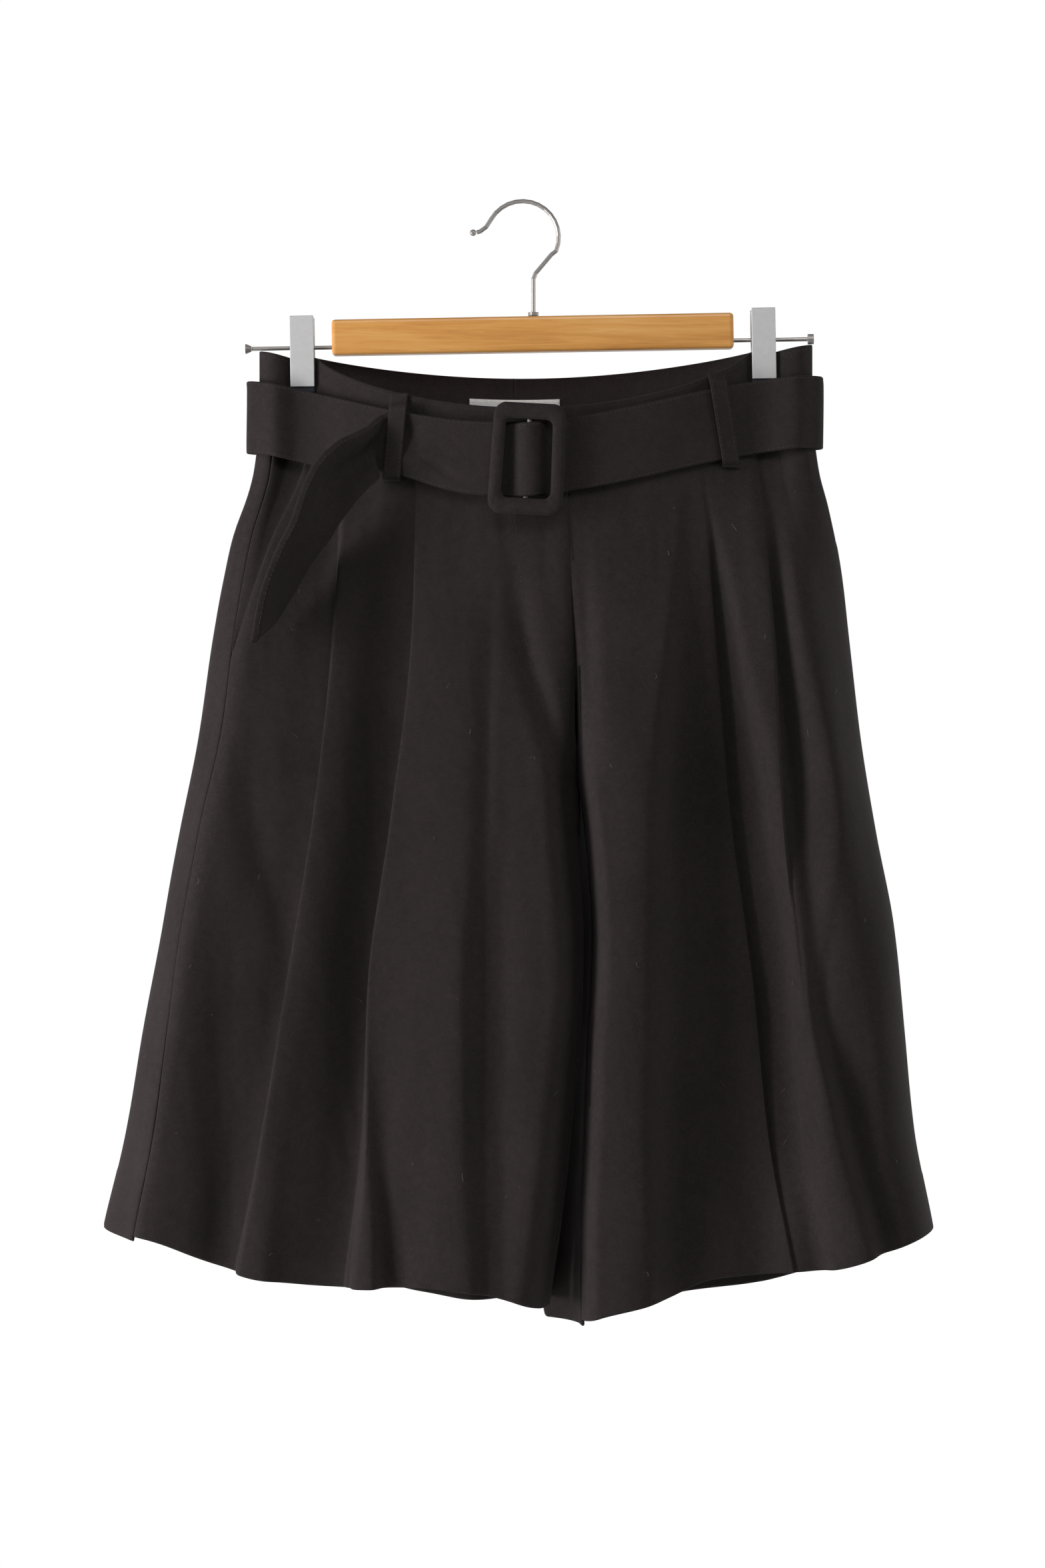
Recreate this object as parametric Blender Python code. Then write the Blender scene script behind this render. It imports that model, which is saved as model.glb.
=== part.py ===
"""Bermuda shorts with a self-fabric belt, hanging from a wooden clip hanger.

Frame: metres, +Z up, the front faces -Y, X runs to the viewer's right. The origin is the inner top
of the hanger's hook. "Left" and "right" are the viewer's. All sizes below are in millimetres.

The garment is worked out as rings: at every height the cloth's outer face is a depth in front of, or
behind, the plane y = 0, as a function of x. Tables give the outline, the depths and the folds, a row
for each height or fold. Each sewn piece is a wall over its own part of that skin.
"""

import math

import bmesh
import bpy
import numpy as np

MM = 0.001

# Walls and gaps
CLOTH = 1.5
BAND_WALL = 2.2
BELT_WALL = 2.4
SEAM = 0.3
HALF_SEAM = SEAM / 2
CLEAR = 0.6

# Waistband: a ring pinched flat at the two clips, bowed between them
BAND_HEIGHT = 46.0
WAIST_ENDS = (-181.0, 199.5)
CLIP_CENTRES = (-152.0, 166.0)
CLIP_WIDTH = 16.5
PINCH = {"front": 3.2, "back": 2.0}
WAIST_BOW = {"front": 33.0, "back": 21.0}
WAIST_SAG = {"front": 41.0, "back": 14.0}
WAIST_SAG_POWER = {"front": 0.63, "back": 0.8}
CLIP_LINE_Z = -105.0
TILT = 0.012
END_RISE = 5.0
END_LOOP = 5.0
FRONT_SPLIT_X = 28.5
BACK_SPLIT_X = -6.0

# Belt and buckle
BELT_WIDTH = 50.0
BELT_ENDS = (-190.5, 207.5)
BELT_STAND_OFF = 3.0
BELT_END_DEPTH = 10.0
BELT_END_ROLL = 20.0
BELT_Z = -146.5
BELT_SAG = {"front": 33.0, "back": 12.0}
BELT_SKEW = {"front": 4.0, "back": 0.0}
BELT_SQUEEZE = 6.0
LEFT_LOOP_X = -84.0
STRAP_DROP = 1.2
BUCKLE_X = 3.4
BUCKLE_Z = -180.6
BUCKLE_WIDTH = 50.0
BUCKLE_HEIGHT = 75.5
BUCKLE_SIDE = 8.6
BUCKLE_RIM = 10.8
BUCKLE_TAPER = 0.05
BUCKLE_THICK = 6.4
BUCKLE_LEAN = math.radians(3.0)
BUCKLE_BACK_Y = -44.6
BAR_RADIUS = 1.5
LOOP_WIDTH = 12.0
LOOP_WALL = 1.6

# Levels
CROTCH_Z = -401.0
WAIST_BLEND = 130.0
HEM_START_Z = -450.0
HEM_LEVEL = -745.0
SEAM_LEVEL = -190.0
WAIST_SEAM = 0.5
TOP_FADE_Z = -300.0

# Outline and depths of the left leg. out: silhouette x; seam: side seam's distance inside it, seen on
# the front; side, mid: depth near the side and at the middle; back_side, back_mid the same behind.
LEFT = [
    dict(z=-140, out=-180.5, seam=11.0, side=10, mid=34, back_side=8, back_mid=22),
    dict(z=-185, out=-185.5, seam=12.0, side=12, mid=36, back_side=10, back_mid=25),
    dict(z=-235, out=-201.0, seam=14.0, side=17, mid=39, back_side=14, back_mid=28),
    dict(z=-300, out=-213.5, seam=15.5, side=22, mid=42, back_side=19, back_mid=32),
    dict(z=-365, out=-223.0, seam=17.0, side=27, mid=44, back_side=23, back_mid=34),
    dict(z=-430, out=-236.0, seam=15.5, side=31, mid=44, back_side=27, back_mid=36),
    dict(z=-500, out=-249.0, seam=16.0, side=34, mid=45, back_side=30, back_mid=37),
    dict(z=-560, out=-260.0, seam=19.5, side=36, mid=46, back_side=32, back_mid=38),
    dict(z=-640, out=-274.0, seam=23.5, side=38, mid=48, back_side=34, back_mid=40),
    dict(z=-710, out=-289.5, seam=25.0, side=40, mid=50, back_side=36, back_mid=42),
    dict(z=-775, out=-300.0, seam=26.0, side=40, mid=50, back_side=36, back_mid=42),
]
# The right leg's seam lies behind its silhouette, so seam is negative.
RIGHT = [
    dict(z=-140, out=199.0, seam=-16.0, side=10, mid=34, back_side=8, back_mid=22),
    dict(z=-185, out=205.0, seam=-16.0, side=12, mid=36, back_side=10, back_mid=25),
    dict(z=-210, out=211.5, seam=-16.0, side=15, mid=38, back_side=12, back_mid=27),
    dict(z=-250, out=219.5, seam=-16.5, side=18, mid=40, back_side=15, back_mid=29),
    dict(z=-300, out=225.5, seam=-17.0, side=22, mid=42, back_side=19, back_mid=32),
    dict(z=-365, out=233.0, seam=-17.0, side=27, mid=43, back_side=23, back_mid=34),
    dict(z=-435, out=244.5, seam=-17.0, side=31, mid=44, back_side=27, back_mid=36),
    dict(z=-500, out=256.5, seam=-18.0, side=34, mid=46, back_side=30, back_mid=37),
    dict(z=-573, out=264.0, seam=-19.0, side=36, mid=48, back_side=32, back_mid=38),
    dict(z=-640, out=270.5, seam=-20.0, side=38, mid=49, back_side=34, back_mid=40),
    dict(z=-706, out=283.0, seam=-21.0, side=40, mid=50, back_side=36, back_mid=42),
    dict(z=-775, out=294.0, seam=-22.0, side=40, mid=50, back_side=36, back_mid=42),
]
# Centre seams above the crotch. front, back: their x; front_in, back_in: their depths.
CENTRE = [
    dict(z=-140, front=28.5, back=-6.0, front_in=35, back_in=22),
    dict(z=-210, front=28.8, back=-1.0, front_in=35, back_in=26),
    dict(z=-250, front=31.0, back=5.0, front_in=34, back_in=28),
    dict(z=-300, front=34.5, back=15.0, front_in=31, back_in=28),
    dict(z=-345, front=36.4, back=25.0, front_in=25, back_in=24),
    dict(z=-375, front=37.0, back=32.0, front_in=16, back_in=15),
    dict(z=-392, front=37.3, back=36.0, front_in=7, back_in=6),
    dict(z=-401, front=37.5, back=37.5, front_in=0, back_in=0),
]
# Inner edges below the crotch. left: left leg's inseam; right: right leg's inseam, seen from the
# front; tuck: how far the right leg's back runs on to the left of that seam, behind the left leg;
# left_in, right_in: how far forward both inseams lie; turn_in: how far back the tucked part turns.
INNER = [
    dict(z=-401, left=37.5, right=37.5, tuck=0.0, left_in=0, right_in=0, turn_in=0),
    dict(z=-415, left=38.3, right=39.8, tuck=2.6, left_in=1, right_in=3, turn_in=15),
    dict(z=-430, left=39.0, right=42.0, tuck=6.0, left_in=2, right_in=6, turn_in=19),
    dict(z=-465, left=41.0, right=45.5, tuck=8.5, left_in=4, right_in=10, turn_in=20),
    dict(z=-505, left=43.0, right=47.5, tuck=9.2, left_in=5, right_in=13, turn_in=20),
    dict(z=-540, left=42.6, right=46.5, tuck=8.8, left_in=6, right_in=16, turn_in=20),
    dict(z=-575, left=40.5, right=44.3, tuck=8.6, left_in=7, right_in=18, turn_in=20),
    dict(z=-640, left=34.5, right=42.0, tuck=12.5, left_in=8, right_in=20, turn_in=22),
    dict(z=-709, left=26.5, right=39.5, tuck=19.0, left_in=9, right_in=22, turn_in=25),
    dict(z=-757, left=19.5, right=39.5, tuck=26.0, left_in=10, right_in=24, turn_in=25),
    dict(z=-785, left=16.5, right=40.0, tuck=21.5, left_in=10, right_in=24, turn_in=25),
]
# Hem heights round each leg
HEM_LEFT = [
    dict(x=-290, front=-705, back=-705),
    dict(x=-262, front=-707.5, back=-711),
    dict(x=-205, front=-728, back=-728),
    dict(x=-178, front=-736, back=-736),
    dict(x=-113, front=-742, back=-749),
    dict(x=-70, front=-741, back=-757),
    dict(x=-31, front=-745, back=-762),
    dict(x=14, front=-757, back=-757),
]
HEM_RIGHT = [
    dict(x=16, front=-772, back=-772),
    dict(x=39.5, front=-766, back=-771),
    dict(x=60, front=-760, back=-768),
    dict(x=97, front=-751, back=-761),
    dict(x=129, front=-738.5, back=-755),
    dict(x=157, front=-735.5, back=-750),
    dict(x=206, front=-731, back=-740),
    dict(x=240, front=-721.5, back=-727),
    dict(x=284, front=-706, back=-706),
]
ROLL_OUT = 30.0
ROLL_IN = {
    ("left", "front"): 44.0,
    ("right", "front"): 13.0,
    ("left", "back"): 34.0,
    ("right", "back"): 34.0,
}

# Folds, one row each: x at the four heights, how far it stands out there (troughs are negative), and
# its reach towards the side (out) and towards the centre (in). Short reaches make a pleat's edge.
FOLD_Z = (-190.0, -365.0, -560.0, -740.0)
FOLDS_LEFT_FRONT = [
    dict(name="pleat_b", x=(-122, -141, -165, -206), lift=(0, 8, 12, 11), out=4.5, inn=26),
    dict(name="pleat_b_under", x=(-100, -107, -119, -141), lift=(-1, -7, -11, -9), out=15, inn=11),
    dict(name="pleat_a", x=(-73, -88, -109, -113), lift=(2, 9, 10, 9), out=4, inn=34),
    dict(name="middle", x=(-29, -29, -30, -28), lift=(0, -2, -7, -7), out=9, inn=15),
    dict(name="side_dip", x=(-150, -185, -212, -236), lift=(0, 1, -5, -5), out=16, inn=16),
    dict(name="fly_dip", x=(-6, 11, 20, 16), lift=(0, -7, 0, 0), out=9, inn=12),
]
FOLDS_RIGHT_FRONT = [
    dict(name="inner_ridge", x=(45, 60, 62, 58), lift=(0, 2, 4, 3), out=22, inn=12),
    dict(name="bowl", x=(112, 113, 112, 112), lift=(-1, -20, -25, -18), out=24, inn=27),
    dict(name="pleat_c", x=(123, 142, 163, 186), lift=(-1, -4, -4, -2), out=5, inn=5),
    dict(name="pleat_d", x=(151, 166, 184, 236), lift=(2, 6, 9, 9), out=5, inn=21),
    dict(name="pleat_e", x=(163, 182, 198, 222), lift=(-2, -10, -3, -5), out=9, inn=6),
    dict(name="ridge_f", x=(178, 199, 212, 240), lift=(0, 4, 0, 0), out=14, inn=7),
    dict(name="lower_dip", x=(185, 205, 197, 248), lift=(0, 0, -5, -7), out=14, inn=7),
    dict(name="fly_gap", x=(35, 43, 46, 46), lift=(-2, -6, 0, 0), out=7, inn=8),
]
FOLDS_LEFT_BACK = [
    dict(name="ridge_1", x=(-120, -160, -195, -222), lift=(0, 3, 7, 8), out=20, inn=26),
    dict(name="dip_1", x=(-85, -110, -140, -158), lift=(0, -3, -6, -7), out=22, inn=22),
    dict(name="ridge_2", x=(-55, -70, -88, -95), lift=(0, 3, 6, 8), out=24, inn=20),
    dict(name="dip_2", x=(-25, -30, -35, -38), lift=(0, -2, -5, -6), out=18, inn=18),
]
FOLDS_RIGHT_BACK = [
    dict(name="ridge_1", x=(135, 170, 205, 218), lift=(0, 3, 6, 8), out=22, inn=24),
    dict(name="dip_1", x=(105, 130, 152, 165), lift=(0, -3, -7, -8), out=20, inn=24),
    dict(name="ridge_2", x=(80, 92, 104, 110), lift=(0, 3, 6, 7), out=24, inn=20),
    dict(name="dip_2", x=(60, 66, 70, 68), lift=(0, -2, -4, -4), out=14, inn=14),
]
LEGS = {
    "left": dict(rows=LEFT, hem=HEM_LEFT, inward=1.0, front=FOLDS_LEFT_FRONT, back=FOLDS_LEFT_BACK),
    "right": dict(rows=RIGHT, hem=HEM_RIGHT, inward=-1.0, front=FOLDS_RIGHT_FRONT, back=FOLDS_RIGHT_BACK),
}

# Slash pocket: its edge starts this far inside the silhouette at the waist and meets the side seam
POCKET_TOP = dict(z=-150.0, inside=38.0)
POCKET_FOOT_Z = -314.0
POCKET_LAP = 10.0
FACING_WALL = 1.2

# Rows of the leg panels, as levels before the waist and hem curves are added
LEVELS = (-190, -212, -236, -262, -288, -314, -340, -362, -380, -393, -401, -415, -440, -475, -515, -560,
          -605, -650, -695, -725, -745)

# Hanger, in its own frame about the middle of the bar, then tilted
HANGER_X = 7.0
HANGER_Z = -90.6
HANGER_TILT = math.radians(1.0)
BAR_SIZE = (277.0, 13.0, 24.5)
ROD_DROP = -6.5
ROD_RADIUS = 1.4
ROD_SOCKET = 12.0
ROD_ENDS = (-187.0, 196.5)
KNOB_RADIUS = 3.6
KNOB_LENGTH = 4.0
CLIP_HEIGHT = 49.0
CLIP_ABOVE_ROD = 21.5
CLIP_PLATE = 1.2
PAD_HEIGHT = 6.0
HUB_LENGTH = 9.0
HOOK_RADIUS = 25.0
HOOK_WIRE = 1.5
HOOK_STEM_X = 7.5

COLOURS = {
    "cloth": ((0.030, 0.026, 0.026), 0.85, 0.0),
    "label": ((0.80, 0.80, 0.79), 0.7, 0.0),
    "wood": ((0.72, 0.42, 0.16), 0.45, 0.0),
    "steel": ((0.62, 0.60, 0.58), 0.35, 1.0),
    "pad": ((0.02, 0.02, 0.03), 0.6, 0.0),
}


def material(name):
    colour, roughness, metallic = COLOURS[name]
    found = bpy.data.materials.get(name)
    if found:
        return found
    made = bpy.data.materials.new(name)
    made.use_nodes = True
    shader = made.node_tree.nodes["Principled BSDF"]
    shader.inputs["Base Color"].default_value = (*colour, 1.0)
    shader.inputs["Roughness"].default_value = roughness
    shader.inputs["Metallic"].default_value = metallic
    return made


def add_object(name, mesh, finish):
    """Links the mesh as a named object with one material."""
    obj = bpy.data.objects.new(name, mesh)
    GARMENT.objects.link(obj)
    mesh.materials.clear()
    mesh.materials.append(material(finish))
    return obj


# ---------------------------------------------------------------- tables and smooth curves

def column(rows, name, at, key="z"):
    """Reads a table's column at a height or place, along a smooth curve that never overshoots."""
    knots = np.array([row[key] for row in rows], float)
    values = np.array([row[name] for row in rows], float)
    return smooth_curve(knots, values, at)


def smooth_curve(knots, values, at):
    order = np.argsort(knots)
    knots, values = knots[order], values[order]
    steps = np.diff(knots)
    slopes = np.diff(values) / steps
    ends = np.concatenate([[slopes[0]], slopes, [slopes[-1]]])
    before, after = ends[:-1], ends[1:]
    same = before * after > 0
    tangent = np.where(same, 2 * before * after / np.where(same, before + after, 1.0), 0.0)
    at = np.clip(np.asarray(at, float), knots[0], knots[-1])
    i = np.clip(np.searchsorted(knots, at) - 1, 0, len(steps) - 1)
    h = steps[i]
    t = (at - knots[i]) / h
    return (
        values[i] * (1 + 2 * t) * (1 - t) ** 2
        + tangent[i] * h * t * (1 - t) ** 2
        + values[i + 1] * t * t * (3 - 2 * t)
        + tangent[i + 1] * h * t * t * (t - 1)
    )


def ease(value):
    value = np.clip(value, 0.0, 1.0)
    return value * value * (3 - 2 * value)


def quarter(value):
    """Quarter of an ellipse: 0 at 0 with an upright start, 1 from 1 on."""
    return np.sqrt(1 - (1 - np.clip(value, 0.0, 1.0)) ** 2)


# ---------------------------------------------------------------- waist ring

def between_clips(x):
    """0 at each clip's inner edge and outside it, 1 in the middle, as a half sine."""
    low = CLIP_CENTRES[0] + CLIP_WIDTH / 2 + 1
    high = CLIP_CENTRES[1] - CLIP_WIDTH / 2 - 1
    return np.sin(np.pi * np.clip((x - low) / (high - low), 0.0, 1.0))


def past_clip(x):
    """0 at a clip's outer edge, 1 at that end of the waist."""
    left = (CLIP_CENTRES[0] - CLIP_WIDTH / 2 - x) / (CLIP_CENTRES[0] - CLIP_WIDTH / 2 - WAIST_ENDS[0])
    right = (x - CLIP_CENTRES[1] - CLIP_WIDTH / 2) / (WAIST_ENDS[1] - CLIP_CENTRES[1] - CLIP_WIDTH / 2)
    return np.clip(np.maximum(left, right), 0.0, 1.0)


def waist_depth(x, face):
    past = past_clip(x)
    bow = WAIST_BOW[face] * between_clips(x) ** 0.8
    return (PINCH[face] + bow + END_LOOP * np.sin(np.pi * past)) * quarter((1 - past) / 0.35)


def waist_top(x, face):
    """Height of the waistband's upper edge."""
    share = between_clips(x)
    sag = WAIST_SAG[face] * (share ** 2 / (share + 0.05)) ** WAIST_SAG_POWER[face]
    return CLIP_LINE_Z + TILT * x + END_RISE * past_clip(x) - sag


# ---------------------------------------------------------------- the skin of the legs

def inner_x(leg, face, z):
    """x of the centre seam above the crotch and of the inseam below it."""
    above = column(CENTRE, face, z)
    below = column(INNER, leg, z)
    return np.where(z > CROTCH_Z, above, below)


def inner_depth(leg, face, z):
    """Depth of that seam in front of y = 0, or behind it for the back."""
    above = column(CENTRE, face + "_in", z)
    forward = column(INNER, leg + "_in", z)
    below = forward if face == "front" else -forward
    return np.where(z > CROTCH_Z, above, below)


def fold_offset(leg, face, x, z):
    inward = LEGS[leg]["inward"]
    total = np.zeros(np.broadcast(x, z).shape)
    for fold in LEGS[leg][face]:
        crest = smooth_curve(np.array(FOLD_Z), np.array(fold["x"], float), z)
        lift = smooth_curve(np.array(FOLD_Z), np.array(fold["lift"], float), z)
        across = (x - crest) * inward
        reach = np.where(across > 0, fold["inn"], fold["out"])
        total = total + lift * np.exp(-((across / reach) ** 2))
    return total


def leg_depth(leg, face, from_side, z):
    """Depth of the cloth's outer face at a distance inside the silhouette, in plan."""
    rows = LEGS[leg]["rows"]
    inward = LEGS[leg]["inward"]
    prefix = "" if face == "front" else "back_"
    out = column(rows, "out", z)
    edge = inner_x(leg, face, z)
    if face == "back" and leg == "right":
        edge = edge - tuck(z)
    width = (edge - out) * inward
    x = out + inward * from_side
    share = np.clip(from_side / width, 0.0, 1.0)
    side = column(rows, prefix + "side", z)
    mid = column(rows, prefix + "mid", z)
    plateau = side + (mid - side) * np.sin(math.pi / 2 * np.clip(share * 1.25, 0, 1))
    plateau = plateau + fold_offset(leg, face, x, z)
    seam = inner_depth(leg, face, z)
    if face == "back" and leg == "right":
        seam = np.where(z > CROTCH_Z, seam, seam + tuck_depth(z))
    legs = (plateau - seam) * quarter((width - from_side) / ROLL_IN[leg, face]) + seam
    legs = legs * quarter(from_side / ROLL_OUT)
    spread = (x - column(LEFT, "out", z)) / (column(RIGHT, "out", z) - column(LEFT, "out", z))
    waist = waist_depth(WAIST_ENDS[0] + spread * (WAIST_ENDS[1] - WAIST_ENDS[0]), face)
    share_of_leg = ease((waist_top(x, face) - BAND_HEIGHT - z) / WAIST_BLEND)
    return waist * (1 - share_of_leg) + legs * share_of_leg


def tuck(z):
    return np.where(z > CROTCH_Z, 0.0, column(INNER, "tuck", z))


def tuck_depth(z):
    """How far behind the right inseam the tucked back turns round."""
    return np.where(z > CROTCH_Z, 0.0, column(INNER, "turn_in", z) + column(INNER, "right_in", z))


def skin(leg, around, z):
    """Points of the cloth's outer face. around is the distance from the silhouette, + on the front,
    - on the back; on the right leg's back, past the inner turn, it runs on round to the inseam."""
    rows = LEGS[leg]["rows"]
    inward = LEGS[leg]["inward"]
    out = column(rows, "out", z)
    front = around >= 0
    span = np.abs(around)
    edge = inner_x(leg, "back", z) - (tuck(z) if leg == "right" else 0.0)
    width = (edge - out) * inward
    past = np.clip(span - width, 0.0, None) * (~front)
    within = np.where(front, span, np.minimum(span, width))
    depth = np.where(front, -leg_depth(leg, "front", within, z), leg_depth(leg, "back", within, z))
    x = out + inward * within
    if leg == "right":
        length = np.maximum(tuck(z), 1e-6)
        turn = np.clip(past / length, 0.0, 1.0)
        x = x + tuck(z) * (1 - (1 - turn) ** 2) * (past > 0)
        depth = depth - tuck_depth(z) * turn * (past > 0)
    return np.stack([x, depth, z + 0 * x], axis=-1)


def plan_normal(points_before, points_after, inward):
    """Unit normal in plan, pointing out of the cloth, from two neighbours along the ring."""
    along = points_after[..., :2] - points_before[..., :2]
    normal = np.stack([along[..., 1], -along[..., 0]], axis=-1) * inward
    return normal / np.maximum(np.linalg.norm(normal, axis=-1, keepdims=True), 1e-9)


def skin_walls(leg, around, z, outer, inner):
    """Two faces of a wall at these distances inside the skin."""
    nudge = 0.4
    inward = LEGS[leg]["inward"]
    here = skin(leg, around, z)
    out = column(LEGS[leg]["rows"], "out", z)
    front_width = (inner_x(leg, "front", z) - out) * inward
    back_width = (inner_x(leg, "back", z) - out) * inward
    ahead = np.minimum(around + nudge, front_width)
    behind = np.maximum(around - nudge, -back_width - (tuck(z) if leg == "right" else 0.0))
    normal = plan_normal(skin(leg, behind, z), skin(leg, ahead, z), inward)
    faces = []
    for inside in (outer, inner):
        moved = here.copy()
        moved[..., :2] -= normal * inside
        faces.append(moved)
    return faces


def level_z(leg, face, level, x):
    """Height of a level at x: the waist seam's and the hem's curves fade out between them."""
    seam_line = waist_top(x, face) - BAND_HEIGHT - WAIST_SEAM
    hem_line = column(LEGS[leg]["hem"], face, x, key="x")
    top = ease((level - TOP_FADE_Z) / (SEAM_LEVEL - TOP_FADE_Z))
    foot = ease((HEM_START_Z - level) / (HEM_START_Z - HEM_LEVEL))
    return level + (seam_line - SEAM_LEVEL) * top + (hem_line - HEM_LEVEL) * foot


def fold_distance(leg, face, name, z):
    """Distance of a fold's line from the silhouette."""
    fold = next(row for row in LEGS[leg][face] if row["name"] == name)
    crest = smooth_curve(np.array(FOLD_Z), np.array(fold["x"], float), z)
    return (crest - column(LEGS[leg]["rows"], "out", z)) * LEGS[leg]["inward"]


def pocket_edge(z, seam):
    """Distance of the slash pocket's edge from the silhouette: it runs into the side seam below."""
    share = np.clip((z - POCKET_FOOT_Z) / (POCKET_TOP["z"] - POCKET_FOOT_Z), 0.0, 1.0)
    return seam + (POCKET_TOP["inside"] - 11.0) * share ** 0.9 * (z > POCKET_FOOT_Z)


# Extra grid lines where the right leg's front turns round its silhouette
TURN_PLACES = {"left": [], "right": [np.full(7, -1.5), np.full(7, 0.0), np.full(7, 1.5)]}


def front_places(leg, z):
    """Distances of a front panel's grid lines from the silhouette, following its folds."""
    seam = column(LEGS[leg]["rows"], "seam", z)
    end = (inner_x(leg, "front", z) - column(LEGS[leg]["rows"], "out", z)) * LEGS[leg]["inward"]
    start = pocket_edge(z, seam)

    def at(name):
        return fold_distance(leg, "front", name, z)

    if leg == "left":
        b, under, a, mid = at("pleat_b"), at("pleat_b_under"), at("pleat_a"), at("middle")
        inside = [start + 2.2, start + 5, start + 10, b - 11, b - 4.5, b, b + 8, b + 17, under, a - 9,
                  a - 3.6, a, a + 9, a + 20, a + 34, mid - 8, mid, mid + 11, end - 44, end - 31, end - 20,
                  end - 11, end - 4.5, end - 1.1]
    else:
        f, e, d, c, bowl = at("ridge_f"), at("pleat_e"), at("pleat_d"), at("pleat_c"), at("bowl")
        turn = [0 * f - 1.5, 0 * f, 0 * f + 1.5, 0 * f + 7, 0 * f + 16]
        inside = [start + 5, start + 10, *turn, f - 9, f, f + 6, e, d - 4, d, d + 9, d + 17, c - 3, c,
                  c + 5, bowl - 6, bowl + 7, bowl + 20, bowl + 34, end - 24, end - 13, end - 7.5,
                  end - 3.5, end - 1.0]
    return np.sort(np.array([start + HALF_SEAM, *inside, end - HALF_SEAM]), axis=0)


def back_places(leg, z):
    """The same for a back panel, as distances that grow from the side seam round to the inner edge."""
    rows = LEGS[leg]["rows"]
    seam = column(rows, "seam", z)
    end = (inner_x(leg, "back", z) - column(rows, "out", z)) * LEGS[leg]["inward"]
    shares = (0.16, 0.27, 0.36, 0.45, 0.54, 0.63, 0.72, 0.80)
    start = -seam + HALF_SEAM
    if leg == "left":
        first = [start, start + 4, start * 0.35, 0 * z, 1.5 + 0 * z, 7.0 + 0 * z, 17.0 + 0 * z]
        last = [end - 20, end - 9, end - 3, end - 0.6, end - HALF_SEAM]
    else:
        first = [start, start + 4.0, start + 11.0]
        turn = tuck(z)
        full = end + turn
        last = [full - 20, full - 9, full - 3, full - 0.7, full + turn * 0.15, full + turn * 0.5,
                full + turn - HALF_SEAM]
        end = full
    middle = [32.0 + (end - 32.0) * (share - 0.1) / 0.78 for share in shares]
    return np.array([*first, *middle, *last])


def settle_places(places, least=0.4):
    """Puts each level's distances in order, keeping the first and the last."""
    for i in range(1, len(places) - 1):
        places[i] = np.clip(places[i], places[i - 1] + least, None)
    for i in range(len(places) - 2, 0, -1):
        places[i] = np.minimum(places[i], places[i + 1] - least)
    return places


def panel_grid(leg, face, levels=LEVELS):
    """around and z of a panel's grid, rows from the waist to the hem."""
    level = np.array(levels, float)[None, :]
    sign = 1.0 if face == "front" else -1.0
    make = front_places if face == "front" else back_places
    count = len(make(leg, level))
    z = np.repeat(level, count, axis=0)
    index = np.arange(count)
    for _ in range(6):
        places = np.stack([settle_places(make(leg, z[i]))[i] for i in index])
        x = skin(leg, sign * places, z)[..., 0]
        z = level_z(leg, face, level, x)
    return sign * places, z


# ---------------------------------------------------------------- walls

def wall_mesh(name, outer, inner, closed=False):
    """A wall between two matching grids of points, closed all round its edge."""
    rows, columns = outer.shape[:2]
    mesh = bmesh.new()
    layers = []
    for grid in (outer, inner):
        layers.append([[mesh.verts.new(point * MM) for point in line] for line in grid])
    last = columns if closed else columns - 1
    for i in range(rows - 1):
        for j in range(last):
            k = (j + 1) % columns
            for layer in layers:
                mesh.faces.new((layer[i][j], layer[i][k], layer[i + 1][k], layer[i + 1][j]))
    for j in range(last):
        k = (j + 1) % columns
        for i in (0, rows - 1):
            mesh.faces.new((layers[0][i][j], layers[0][i][k], layers[1][i][k], layers[1][i][j]))
    if not closed:
        for i in range(rows - 1):
            for j in (0, columns - 1):
                mesh.faces.new((layers[0][i][j], layers[0][i + 1][j], layers[1][i + 1][j], layers[1][i][j]))
    bmesh.ops.recalc_face_normals(mesh, faces=mesh.faces)
    bmesh.ops.triangulate(mesh, faces=mesh.faces)
    data = bpy.data.meshes.new(name)
    mesh.to_mesh(data)
    mesh.free()
    data.shade_smooth()
    data.set_sharp_from_angle(angle=math.radians(50))
    return data


def add_panel(leg, face):
    around, z = panel_grid(leg, face)
    outer, inner = skin_walls(leg, around, z, 0.0, CLOTH)
    name = f"{face}_{leg}"
    return add_object(name, wall_mesh(name, outer, inner), "cloth")


def add_pocket_facing(leg):
    """The strip seen between the side seam and the pocket's edge, just under both."""
    name = f"pocket_facing_{leg}"
    levels = np.array(LEVELS[:7], float)
    z = np.repeat(levels[None, :], 9 + len(TURN_PLACES[leg]), axis=0)
    for _ in range(6):
        seam = column(LEGS[leg]["rows"], "seam", z)
        edge = pocket_edge(z, seam)
        seam, edge = seam[0], edge[0]
        gap = edge - seam
        around = np.stack([seam - 4, seam, seam + gap * 0.25 + 0.2, seam + gap * 0.6 + 0.4,
                           edge - 0.6, edge + 0.3, edge + 2.2, edge + 5, edge + 10,
                           *TURN_PLACES[leg]])
        around = settle_places(np.sort(around, axis=0), 0.3)
        x = skin(leg, around, z)[..., 0]
        z = level_z(leg, "front", levels[None, :], x)
    under = CLOTH + SEAM
    outer, inner = skin_walls(leg, around, z, under, under + FACING_WALL)
    return add_object(name, wall_mesh(name, outer, inner), "cloth")


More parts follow.
